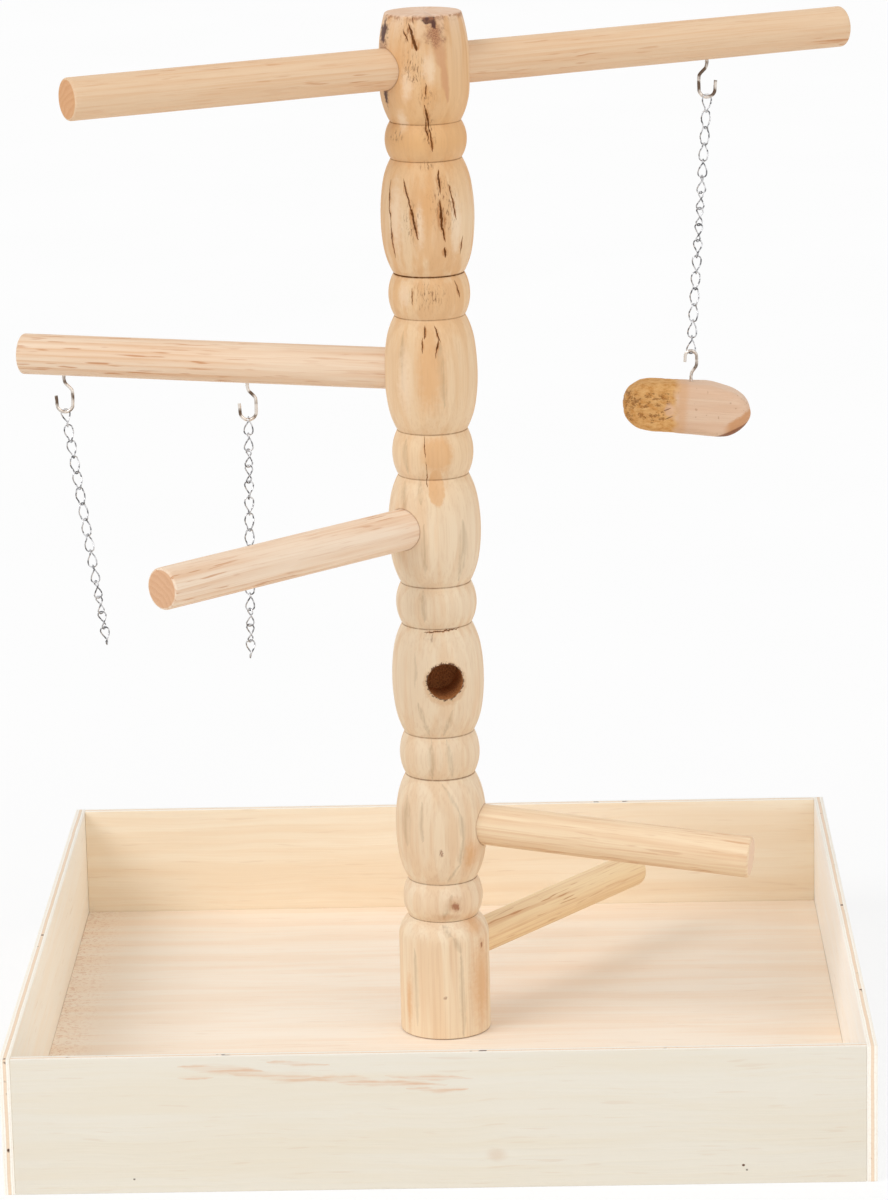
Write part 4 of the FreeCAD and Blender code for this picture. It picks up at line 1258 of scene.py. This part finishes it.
def metal_material(name, bright, dull_and_reflection, roughness, scale=420.0):
    material, tree, surface = new_material(name)
    plating = use(tree, plating_and_reflection_group(), Place=object_place(tree), Scale=scale)
    surface.inputs["Metallic"].default_value = 1.0
    # the darker plating colour in broad patches; on the hooks and chains these patches are
    # painted dark reflections
    paint(tree, surface, blend(tree, plating["Dull_and_reflection"], bright, dull_and_reflection),
          ease(tree, plating["Dull_and_reflection"], 0.0, 1.0, roughness, roughness + 0.18))
    relief(tree, surface, plating["Pits"], 0.000012)
    return material


def brad_material():
    return metal_material("brad_steel_heads", shade(150, 140, 128), shade(96, 82, 70), 0.4)


def wire(points, radius, closed=False, sides=3):
    """Round wire bent along a line of points, as a mesh with closed ends."""
    line = bpy.data.curves.new("wire", "CURVE")
    line.dimensions = "3D"
    line.bevel_depth = radius
    line.bevel_resolution = sides
    line.use_fill_caps = True
    run = line.splines.new("POLY")
    run.points.add(len(points) - 1)
    for spot, point in zip(run.points, points):
        spot.co = (*point, 1.0)
    run.use_cyclic_u = closed
    holder = bpy.data.objects.new("wire", line)
    bpy.context.scene.collection.objects.link(holder)
    graph = bpy.context.evaluated_depsgraph_get()
    mesh = bpy.data.meshes.new_from_object(holder.evaluated_get(graph))
    bpy.data.objects.remove(holder)
    bpy.data.curves.remove(line)
    shape = bmesh.new()
    shape.from_mesh(mesh)
    bpy.data.meshes.remove(mesh)
    bmesh.ops.remove_doubles(shape, verts=shape.verts[:], dist=1e-7)
    bmesh.ops.recalc_face_normals(shape, faces=shape.faces[:])
    return shape


def smooth_line(corners, count):
    """A smooth line through corners, with count points between each two."""
    points = []
    for number in range(len(corners) - 1):
        before = Vector(corners[max(number - 1, 0)])
        first, last = Vector(corners[number]), Vector(corners[number + 1])
        after = Vector(corners[min(number + 2, len(corners) - 1)])
        for step in range(count):
            t = step / count
            points.append(0.5 * (2 * first + (last - before) * t
                                 + (2 * before - 5 * first + 4 * last - after) * t * t
                                 + (3 * first - before - 3 * last + after) * t * t * t))
    points.append(Vector(corners[-1]))
    return points


def hook_line(shank, neck, run, drop, bow, tip):
    """Middle line of a hanging screw hook, in mm, from the top of its shank."""
    neck += shank
    low = drop + shank
    corners = [(0.0, 0.0, 0.0), (0.0, 0.0, -shank), (0.0, 0.0, -neck + 0.6),
               (bow * 0.14, 0.0, -neck - run * 0.25), (bow * 0.5, 0.0, -neck - run * 0.5),
               (bow * 0.86, 0.0, -neck - run * 0.75), (bow, 0.0, -neck - run)]
    for number in range(9):
        angle = math.pi * number / 8
        corners.append((bow * math.cos(angle), 0.0, -low - bow * math.sin(angle)))
    corners.append((-bow * 1.02, 0.0, -low + tip * 0.5))
    corners.append((-bow * 1.08, 0.0, -low + tip))
    return smooth_line(corners, 4)


def perch_spot(number, reach, up=0.0):
    """A point on a perch, in mm."""
    level, azimuth, droop = PERCHES[number][1:4]
    return Vector((0, 0, level + up)) + heading_vector(azimuth, droop) * reach


def hook_spots():
    """The top of the shank of each hook under a perch, and its half turn."""
    for name, perch, reach, facing in HOOKS:
        yield name, perch_spot(perch, reach, HOOK_SHANK - PERCHES[perch][-1]), facing


def screw_thread(radius, pitch, start, stop, depth):
    """A thread ridge wound round a shank that hangs down from the origin."""
    points = []
    count = max(12, round((start - stop) / pitch * 16))
    for number in range(count + 1):
        share = number / count
        angle = 2 * math.pi * (start - stop) / pitch * share
        points.append((radius * math.cos(angle) * MM, radius * math.sin(angle) * MM,
                       (start + (stop - start) * share) * MM))
    return wire(points, depth * MM, sides=1)


def merge(shapes):
    """Put several bmeshes in one."""
    whole = bmesh.new()
    for shape in shapes:
        mesh = bpy.data.meshes.new("part")
        shape.to_mesh(mesh)
        shape.free()
        whole.from_mesh(mesh)
        bpy.data.meshes.remove(mesh)
    return whole


def threaded_hook(sizes, thread, thickness, place):
    """A bent hook with its thread, hung from a place."""
    bent = wire([point * MM for point in hook_line(**sizes)], thickness / 2, sides=4)
    shape = merge((bent, screw_thread(**thread)))
    bmesh.ops.transform(shape, verts=shape.verts[:], matrix=place)
    return shape


class PLAYSTAND_OT_hooks(Operator):
    """Bend the three screw hooks under the perches"""
    bl_idname = "playstand.hooks"
    bl_label = "Screw hooks"

    def execute(self, context):
        settings = context.scene.play_stand.wire
        # painted reflection: the hooks' darker plating patches stand for dark reflections on the
        # nickel
        material = metal_material("hook_plating", tuple(settings.bright), tuple(settings.dull_and_reflection),
                                  0.2, 160.0)
        for name, spot, facing in hook_spots():
            place = (Matrix.Translation(spot * MM)
                     @ Matrix.Rotation(math.radians(facing), 4, "Z"))
            shape = threaded_hook(SCREW_HOOK, SCREW_THREAD, settings.hook_wire, place)
            finish_piece(name + "_wire", shape, [material], "stand", [name], 60.0)
        return {"FINISHED"}


# ---------------------------------------------------------------- chains

LINK_HALF_WIDTH = 2.75
LINK_HEIGHT = 11.45
LINK_PITCH = 10.2


def link_line():
    """Middle line of one twisted link: its top bow lies across its bottom bow."""
    bow_height = 2.45
    bow_centre = LINK_HEIGHT / 2 - bow_height
    flat = []
    for end in (1, -1):
        for number in range(9):
            angle = math.pi * number / 8
            flat.append((end * LINK_HALF_WIDTH * math.cos(angle),
                         end * (bow_centre + bow_height * math.sin(angle))))
        for level in (0.6, 0.2, -0.2, -0.6):
            flat.append((-end * LINK_HALF_WIDTH, end * bow_centre * level))
    line = []
    for across, up in flat:
        share = max(-1.0, min(1.0, up / bow_centre))
        turn = math.radians(45) * (1 + share)
        line.append((across * math.cos(turn) * MM, across * math.sin(turn) * MM, up * MM))
    return line


def chain_places(hook, lean, turns):
    """Where each link of a chain hangs."""
    tilt = Matrix.Rotation(math.radians(-lean), 4, "Y")
    down = tilt @ Vector((0, 0, -1))
    spot = list(hook_spots())[hook][1]
    bow = spot - Vector((0, 0, HOOK_SHANK + HOOK_DROP + HOOK_BOW))
    top = bow - down * 1.8
    places = []
    for number, turn in enumerate(turns):
        middle = top + down * (LINK_PITCH * number + LINK_HEIGHT / 2)
        spin = Matrix.Rotation(math.radians(turn), 4, "Z")
        places.append(Matrix.Translation(middle * MM) @ tilt @ spin)
    return places


class PLAYSTAND_OT_chains(Operator):
    """Hang the three twisted-link chains"""
    bl_idname = "playstand.chains"
    bl_label = "Chains"

    def execute(self, context):
        settings = context.scene.play_stand.wire
        # painted reflection: the dark grey patches on the links stand for the dark reflections
        # along the wire
        material = metal_material("chain_plating", tuple(settings.zinc),
                                  shade(104, 104, 106), 0.2, 420.0)
        link = wire(link_line(), settings.link_wire / 2, closed=True, sides=2)
        pattern = bpy.data.meshes.new("link")
        link.to_mesh(pattern)
        link.free()
        for side, hook, lean, turns in CHAINS:
            places = chain_places(hook, lean, turns)
            for segment, first in enumerate(range(0, len(turns), LINKS_PER_SEGMENT), start=1):
                shape = bmesh.new()
                for place in places[first:first + LINKS_PER_SEGMENT]:
                    known = len(shape.verts)
                    shape.from_mesh(pattern)
                    shape.verts.ensure_lookup_table()
                    bmesh.ops.transform(shape, verts=shape.verts[known:], matrix=place)
                name = "chain_%s_%d" % (side, segment)
                finish_piece(name + "_links", shape, [material], name, [name],
                             60.0)
        bpy.data.meshes.remove(pattern)
        return {"FINISHED"}


# ---------------------------------------------------------------- chew block

TOY_BEARING = Vector((162.0, 97.436, 422.016))


def block_outline():
    """Outline of the chew block seen from the front, in mm: nose at the left, facet at right."""
    half, tall, nose, facet = 41.0, 16.5, 15.5, 9.0
    points = arc((nose - half, nose), (-half, 0.0), nose, 12)
    points += arc((-half, 0.0), (nose - half, -nose), nose, 12)
    points += [(half - facet * 2, -tall), (half - facet, -tall + facet / 4),
               (half, -facet / 3), (half, facet / 3), (half - facet, tall - facet / 2),
               (half - facet * 3, tall), (nose - half, nose)]
    return points


def worn_reach(outline, angle, known):
    """The reach of the outline with its corners worn round: an average over near angles."""
    key = round(angle, 3)
    if key not in known:
        spread = [ray_reach(outline, angle + math.radians(step * 2.2)) for step in range(-4, 5)]
        known[key] = min(sum(spread) / len(spread), ray_reach(outline, angle) + 0.3)
    return known[key]


def ray_reach(outline, angle):
    """How far the outline lies from its middle at an angle."""
    ahead = Vector((math.cos(angle), math.sin(angle)))
    best = 0.0
    for first, last in zip(outline, outline[1:] + outline[:1]):
        a, b = Vector(first), Vector(last)
        run = b - a
        cross = ahead.x * run.y - ahead.y * run.x
        if abs(cross) < 1e-9:
            continue
        along = (a.x * run.y - a.y * run.x) / cross
        share = (a.x * ahead.y - a.y * ahead.x) / cross
        if -1e-6 <= share <= 1 + 1e-6 and along > best:
            best = along
    return best


def bark_edge(across, up):
    """How much of the bark is left at a place on the block's face: 1 is bark, 0 is sawn."""
    edge = noise.noise(Vector((across * 0.12, up * 0.16, 3.0))) * 4.0 - 4.6
    return min(1.0, max(0.0, (edge - across) / 5.0))


def block_material(settings):
    material, tree, surface = new_material("branch_wood_block", 0.25)
    place = attribute(tree, "block")
    bark = attribute(tree, "bark", "Fac")
    pit = attribute(tree, "pit", "Fac")
    coarse = speckle(tree, stretch(tree, place, (0.7, 1.0, 1.3)), 320.0, 4.0, 0.7)[0]
    rough = blend(tree, ease(tree, coarse, 0.32, 0.6), shade(204, 144, 78), tuple(settings.bark))
    rough = blend(tree, ease(tree, coarse, 0.55, 0.8, 0.0, 0.7), rough, shade(238, 200, 146))
    fine = speckle(tree, stretch(tree, place, (0.6, 1.0, 1.2)), 1100.0, 2.0, 0.6)[0]
    # darker brown in the bark's pits, the deeper the pit the darker
    pit_darkening = times(tree, ease(tree, fine, 0.45, 0.6), ease(tree, pit, 0.0, 0.22))
    rough = blend(tree, compute(tree, "MAXIMUM", times(tree, pit_darkening, 0.75),
                                ease(tree, pit, 0.45, 1.0, 0.0, 0.55)),
                  rough, shade(140, 88, 42))
    grain = use(tree, fibre_group(), Place=place, Scale=130.0, Waviness=0.005)
    sawn = blend(tree, ease(tree, grain["Figure"], 0.0, 1.0, 0.0, 0.5), tuple(settings.sawn),
                 shade(221, 180, 148))
    sawn = tint(tree, sawn, shade(206, 160, 126), grain["Lines"], 0.2)
    specks = speckle(tree, place, 380.0, 1.0, 0.3)[0]
    sawn = blend(tree, ease(tree, specks, 0.7, 0.76, 0.0, 0.5), sawn, shade(176, 132, 102))
    along, back, up = parts(tree, place)
    facet = compute(tree, "SUBTRACT", times(tree, along, 0.745), up)
    facet = compute(tree, "ADD", facet, times(tree, coarse, 0.006))
    facet = times(tree, ease(tree, facet, 0.0275, 0.0305),
                  ease(tree, along, 0.022, 0.029))
    sawn = tint(tree, sawn, shade(204, 146, 98), facet, 0.85)
    rim = compute(tree, "SUBTRACT", times(tree, along, 0.543), up)
    rim = times(tree, ease(tree, rim, 0.0258, 0.0272),
                ease(tree, along, 0.012, 0.020))
    sawn = tint(tree, sawn, shade(132, 80, 50), rim, 0.85)
    tan = times(tree, ease(tree, along, -0.008, -0.0045),
                ease(tree, along, -0.003, 0.002, 1.0, 0.0))
    sawn = tint(tree, sawn, shade(218, 168, 122), tan, 0.6)
    ridged = use(tree, patch_group(), Place=place, Centre=(-0.011, -0.014, -0.0005),
                 Reach=(0.0048, 0.012, 0.006), Edge=coarse, Ragged=1.2, Soft=0.6)["Mask"]
    rough = tint(tree, rough, shade(230, 190, 158), ridged, 0.75)
    slits = []
    for left, low, right, high in ((-0.0150, -0.0010, -0.0105, 0.0012),
                                   (-0.0135, -0.0062, -0.0090, -0.0040)):
        slits.append(use(tree, check_group(), Place=stretch(tree, place, (1.0, 0.0, 1.0)),
                         Start=(left, 0.0, low), End=(right, 0.0, high), Width=0.00055,
                         Soft=0.8)["Mask"])
    facing = ease(tree, back, -0.008, -0.004, 1.0, 0.0)
    slit = times(tree, greatest(tree, slits), facing)
    colour = blend(tree, bark, sawn, rough)
    colour = tint(tree, colour, shade(112, 66, 38), slit, 0.8)
    paint(tree, surface, colour, ease(tree, bark, 0.0, 1.0, 0.55, 0.85))
    height = compute(tree, "ADD", times(tree, coarse, bark),
                     times(tree, grain["Lines"], 0.08))
    relief(tree, surface, height, 0.0012)
    return material


def carved_block(relief_height):
    """The block around its own middle, with each point's place, bark and pit."""
    shape = bmesh.new()
    bmesh.ops.create_uvsphere(shape, u_segments=160, v_segments=72, radius=1.0)
    bmesh.ops.rotate(shape, verts=shape.verts[:], cent=(0, 0, 0),
                     matrix=Matrix.Rotation(math.radians(90), 3, "X"))
    bmesh.ops.triangulate(shape, faces=[face for face in shape.faces if len(face.verts) > 4])
    outline = block_outline()
    home, bark, pits, known = [], [], [], {}
    depth, rounding, hollow, flat_share = 14.0, 8.0, 0.6, 0.34
    for vert in shape.verts:
        spot = vert.co.normalized()
        angle = math.atan2(spot.z, spot.x)
        share = math.acos(max(-1.0, min(1.0, -spot.y))) / math.pi
        reach = worn_reach(outline, angle, known)
        side = -1.0 if share < 0.5 else 1.0
        inward = min(share, 1.0 - share)
        if inward < flat_share:
            part = inward / flat_share
            out = (reach - rounding) * part
            back = depth - hollow * part * part
        else:
            turn = (inward - flat_share) / (0.5 - flat_share) * math.pi / 2
            out = reach - rounding + rounding * math.sin(turn)
            back = depth - hollow - (rounding - hollow) * (1 - math.cos(turn))
        across, up = out * math.cos(angle), out * math.sin(angle)
        here = Vector((across, side * back, up))
        barked = bark_edge(across, up) if side < 0 or inward > 0.3 else 0.0
        normal = Vector((0.0, side, 0.0))
        if inward > flat_share:
            normal = Vector((math.cos(angle), side, math.sin(angle))).normalized()
        rough = noise.fractal(here * 0.16, 0.8, 2.1, 5)
        band = max(0.0, 1 - ((up - 4.5) / 6.5) ** 2, 0.6 - ((up + 5.0) / 6.0) ** 2)
        band *= min(1.0, max(0.0, (-11.0 - across) / 4))
        dent = max(0.0, noise.noise(Vector((here.x * 0.3, here.y * 0.5, here.z * 0.55))
                                    + Vector((7, 3, 1))) - 0.04) * 2.4 * band
        lift = (rough * 0.4 - dent) * relief_height / MM - 0.25
        here += normal * (lift * barked + (1 - barked) * noise.noise(here * 0.1) * 0.12)
        vert.co = here * MM
        home.append(vert.co.copy())
        bark.append(barked)
        pits.append(min(1.0, dent * 1.6) * barked)
    bmesh.ops.recalc_face_normals(shape, faces=shape.faces[:])
    return shape, home, bark, pits


class PLAYSTAND_OT_block(Operator):
    """Carve the chew block and bend the hook that it hangs on"""
    bl_idname = "playstand.block"
    bl_label = "Chew block"

    def execute(self, context):
        wires = context.scene.play_stand.wire
        settings = context.scene.play_stand.block
        entry = TOY_BEARING + Vector((0, 0, 1.7 - 19.6))
        tilt = Matrix.Rotation(math.radians(5.0), 4, "Y")
        middle = entry - tilt @ Vector((1.5, 0, 16.5))
        shape, home, bark, pits = carved_block(settings.relief)
        bmesh.ops.transform(shape, verts=shape.verts[:],
                            matrix=Matrix.Translation(middle * MM) @ tilt)
        made = finish_piece("toy_block_branch", shape, [block_material(settings)], "chew_toy",
                            ["toy_block"], 70.0)
        keep(made.data, "block", home)
        keep(made.data, "bark", bark, "FLOAT", "value")
        keep(made.data, "pit", pits, "FLOAT", "value")
        foot = entry - Vector((0, 0, TOY_HOOK["shank"]))
        place = Matrix.Translation(foot * MM) @ Matrix.Rotation(math.radians(180), 4, "X")
        shape = threaded_hook(TOY_HOOK, TOY_THREAD, wires.toy_wire, place)
        # painted reflection: the block's hook has the same darker plating patches for dark
        # reflections
        plating = metal_material("toy_hook_plating", tuple(wires.bright), tuple(wires.dull_and_reflection), 0.2,
                                 160.0)
        finish_piece("toy_hook_wire", shape, [plating], "chew_toy", ["toy_hook"],
                     60.0)
        return {"FINISHED"}


# ---------------------------------------------------------------- fixings

class PLAYSTAND_OT_fixings(Operator):
    """Give the post's screw and washer their plated finish"""
    bl_idname = "playstand.fixings"
    bl_label = "Screw and washer"

    def execute(self, context):
        plated = metal_material("screw_plating", shade(196, 194, 186), shade(140, 134, 122), 0.3)
        for name in ("post_screw", "post_washer"):
            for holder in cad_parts[name].material_slots:
                holder.material = plated
        return {"FINISHED"}


# ---------------------------------------------------------------- studio

WHITE = (1.0, 1.0, 1.0, 1.0)


def seen_directly(tree):
    """1 where a ray comes from the camera, straight or by way of glass or a mirror."""
    path = tree.nodes.new("ShaderNodeLightPath").outputs
    return greatest(tree, [path["Is Camera Ray"], path["Is Glossy Ray"],
                           path["Is Transmission Ray"]])


def studio_paint(ground):
    """Pale paint that looks nearly white from the camera, whatever light falls on it."""
    material, tree, surface = new_material("studio_paint", 0.0)
    mottle = speckle(tree, object_place(tree), 3.0)[0]
    tone = blend(tree, ease(tree, mottle, 0.3, 0.7), ground, shade(252, 252, 252))
    tree.links.new(tone, surface.inputs["Base Color"])
    surface.inputs["Roughness"].default_value = 0.95
    white = add(tree, "ShaderNodeEmission", {"Color": WHITE, "Strength": 1.0})
    both = add(tree, "ShaderNodeMixShader",
               {0: times(tree, seen_directly(tree), 0.72), 1: surface.outputs[0],
                2: white.outputs[0]})
    output = next(node for node in tree.nodes if node.type == "OUTPUT_MATERIAL")
    tree.links.new(both.outputs[0], output.inputs["Surface"])
    return material


def studio_air(strength):
    """Even light from all around, white where the camera looks past the floor."""
    world = bpy.data.worlds.new("studio_air")
    world.use_nodes = True
    tree = world.node_tree
    tree.nodes.clear()
    lit = add(tree, "ShaderNodeBackground", {"Color": WHITE, "Strength": strength})
    shown = add(tree, "ShaderNodeBackground", {"Color": WHITE, "Strength": 1.0})
    both = add(tree, "ShaderNodeMixShader",
               {0: seen_directly(tree), 1: lit.outputs[0], 2: shown.outputs[0]})
    output = tree.nodes.new("ShaderNodeOutputWorld")
    tree.links.new(both.outputs[0], output.inputs["Surface"])
    return world


# Where the camera stands, in metres, and its pitch, yaw and roll in degrees, as solved from the
# corners of the tray.
CAMERA_SPOT = (0.06098, -2.86719, 1.00657)
CAMERA_TURN = (14.048, -1.124, -1.300)


def camera_place():
    pitch, yaw, roll = (math.radians(angle) for angle in CAMERA_TURN)
    ahead = Vector((math.sin(yaw) * math.cos(pitch), math.cos(yaw) * math.cos(pitch),
                    -math.sin(pitch)))
    level = Vector((math.cos(yaw), -math.sin(yaw), 0.0))
    upward = level.cross(ahead)
    right = level * math.cos(roll) + upward * math.sin(roll)
    up = upward * math.cos(roll) - level * math.sin(roll)
    place = Matrix((right, up, -ahead)).transposed().to_4x4()
    place.translation = Vector(CAMERA_SPOT)
    return place


class PLAYSTAND_OT_studio(Operator):
    """Set the pale floor, the soft lights and the camera"""
    bl_idname = "playstand.studio"
    bl_label = "Studio"

    def execute(self, context):
        scene = context.scene
        settings = scene.play_stand.studio
        shape = bmesh.new()
        bmesh.ops.create_grid(shape, x_segments=40, y_segments=40, size=20.0)
        bmesh.ops.translate(shape, verts=shape.verts[:], vec=(0, 8.0, 0))
        mesh = bpy.data.meshes.new("studio_floor")
        shape.to_mesh(mesh)
        shape.free()
        mesh.materials.append(studio_paint(tuple(settings.ground)))
        floor = bpy.data.objects.new("studio_floor", mesh)
        scene.collection.objects.link(floor)

        scene.world = studio_air(settings.air)
        for name, strength, aim, spread in (
                ("key", settings.key, (0.85, 0.62, -0.95), 35.0),
                ("fill", settings.fill, (-0.9, 0.7, -0.7), 60.0)):
            sun = bpy.data.lights.new(name, "SUN")
            sun.energy = strength
            sun.angle = math.radians(spread)
            lamp = bpy.data.objects.new(name, sun)
            lamp.rotation_euler = Vector(aim).to_track_quat("-Z", "Y").to_euler()
            lamp.location = -Vector(aim) * 2
            scene.collection.objects.link(lamp)

        eye = bpy.data.cameras.new("camera")
        eye.lens = settings.lens
        eye.sensor_fit = "AUTO"
        eye.clip_end = 100.0
        camera = bpy.data.objects.new("camera", eye)
        camera.matrix_world = camera_place()
        scene.collection.objects.link(camera)
        scene.camera = camera
        scene.view_settings.view_transform = "Standard"
        return {"FINISHED"}


# ---------------------------------------------------------------- add-on

STEPS = (
    PLAYSTAND_OT_tray, PLAYSTAND_OT_post, PLAYSTAND_OT_perches, PLAYSTAND_OT_hooks,
    PLAYSTAND_OT_chains, PLAYSTAND_OT_block, PLAYSTAND_OT_fixings, PLAYSTAND_OT_studio,
)


class PLAYSTAND_PT_panel(Panel):
    """Lists the pieces of the play stand"""
    bl_idname = "PLAYSTAND_PT_panel"
    bl_label = "Play stand"
    bl_space_type = "VIEW_3D"
    bl_region_type = "UI"
    bl_category = "Play stand"

    def draw(self, context):
        column = self.layout.column(align=True)
        for step in STEPS:
            column.operator(step.bl_idname)
        for name in ("post", "perches", "tray", "wire", "block", "studio"):
            box = self.layout.box()
            group = getattr(context.scene.play_stand, name)
            for label in group.bl_rna.properties.keys():
                if label not in ("rna_type", "name"):
                    box.prop(group, label)


CLASSES = (
    PLAYSTAND_PG_post, PLAYSTAND_PG_perches, PLAYSTAND_PG_tray, PLAYSTAND_PG_wire,
    PLAYSTAND_PG_block, PLAYSTAND_PG_studio, PLAYSTAND_PG_settings, *STEPS,
    PLAYSTAND_PT_panel,
)


def register():
    for item in CLASSES:
        bpy.utils.register_class(item)
    bpy.types.Scene.play_stand = PointerProperty(type=PLAYSTAND_PG_settings)


def unregister():
    del bpy.types.Scene.play_stand
    for item in reversed(CLASSES):
        bpy.utils.unregister_class(item)


def main():
    register()
    bpy.ops.playstand.tray()
    bpy.ops.playstand.post()
    bpy.ops.playstand.perches()
    bpy.ops.playstand.hooks()
    bpy.ops.playstand.chains()
    bpy.ops.playstand.block()
    bpy.ops.playstand.fixings()
    bpy.ops.playstand.studio()


if __name__ == "__main__":
    main()
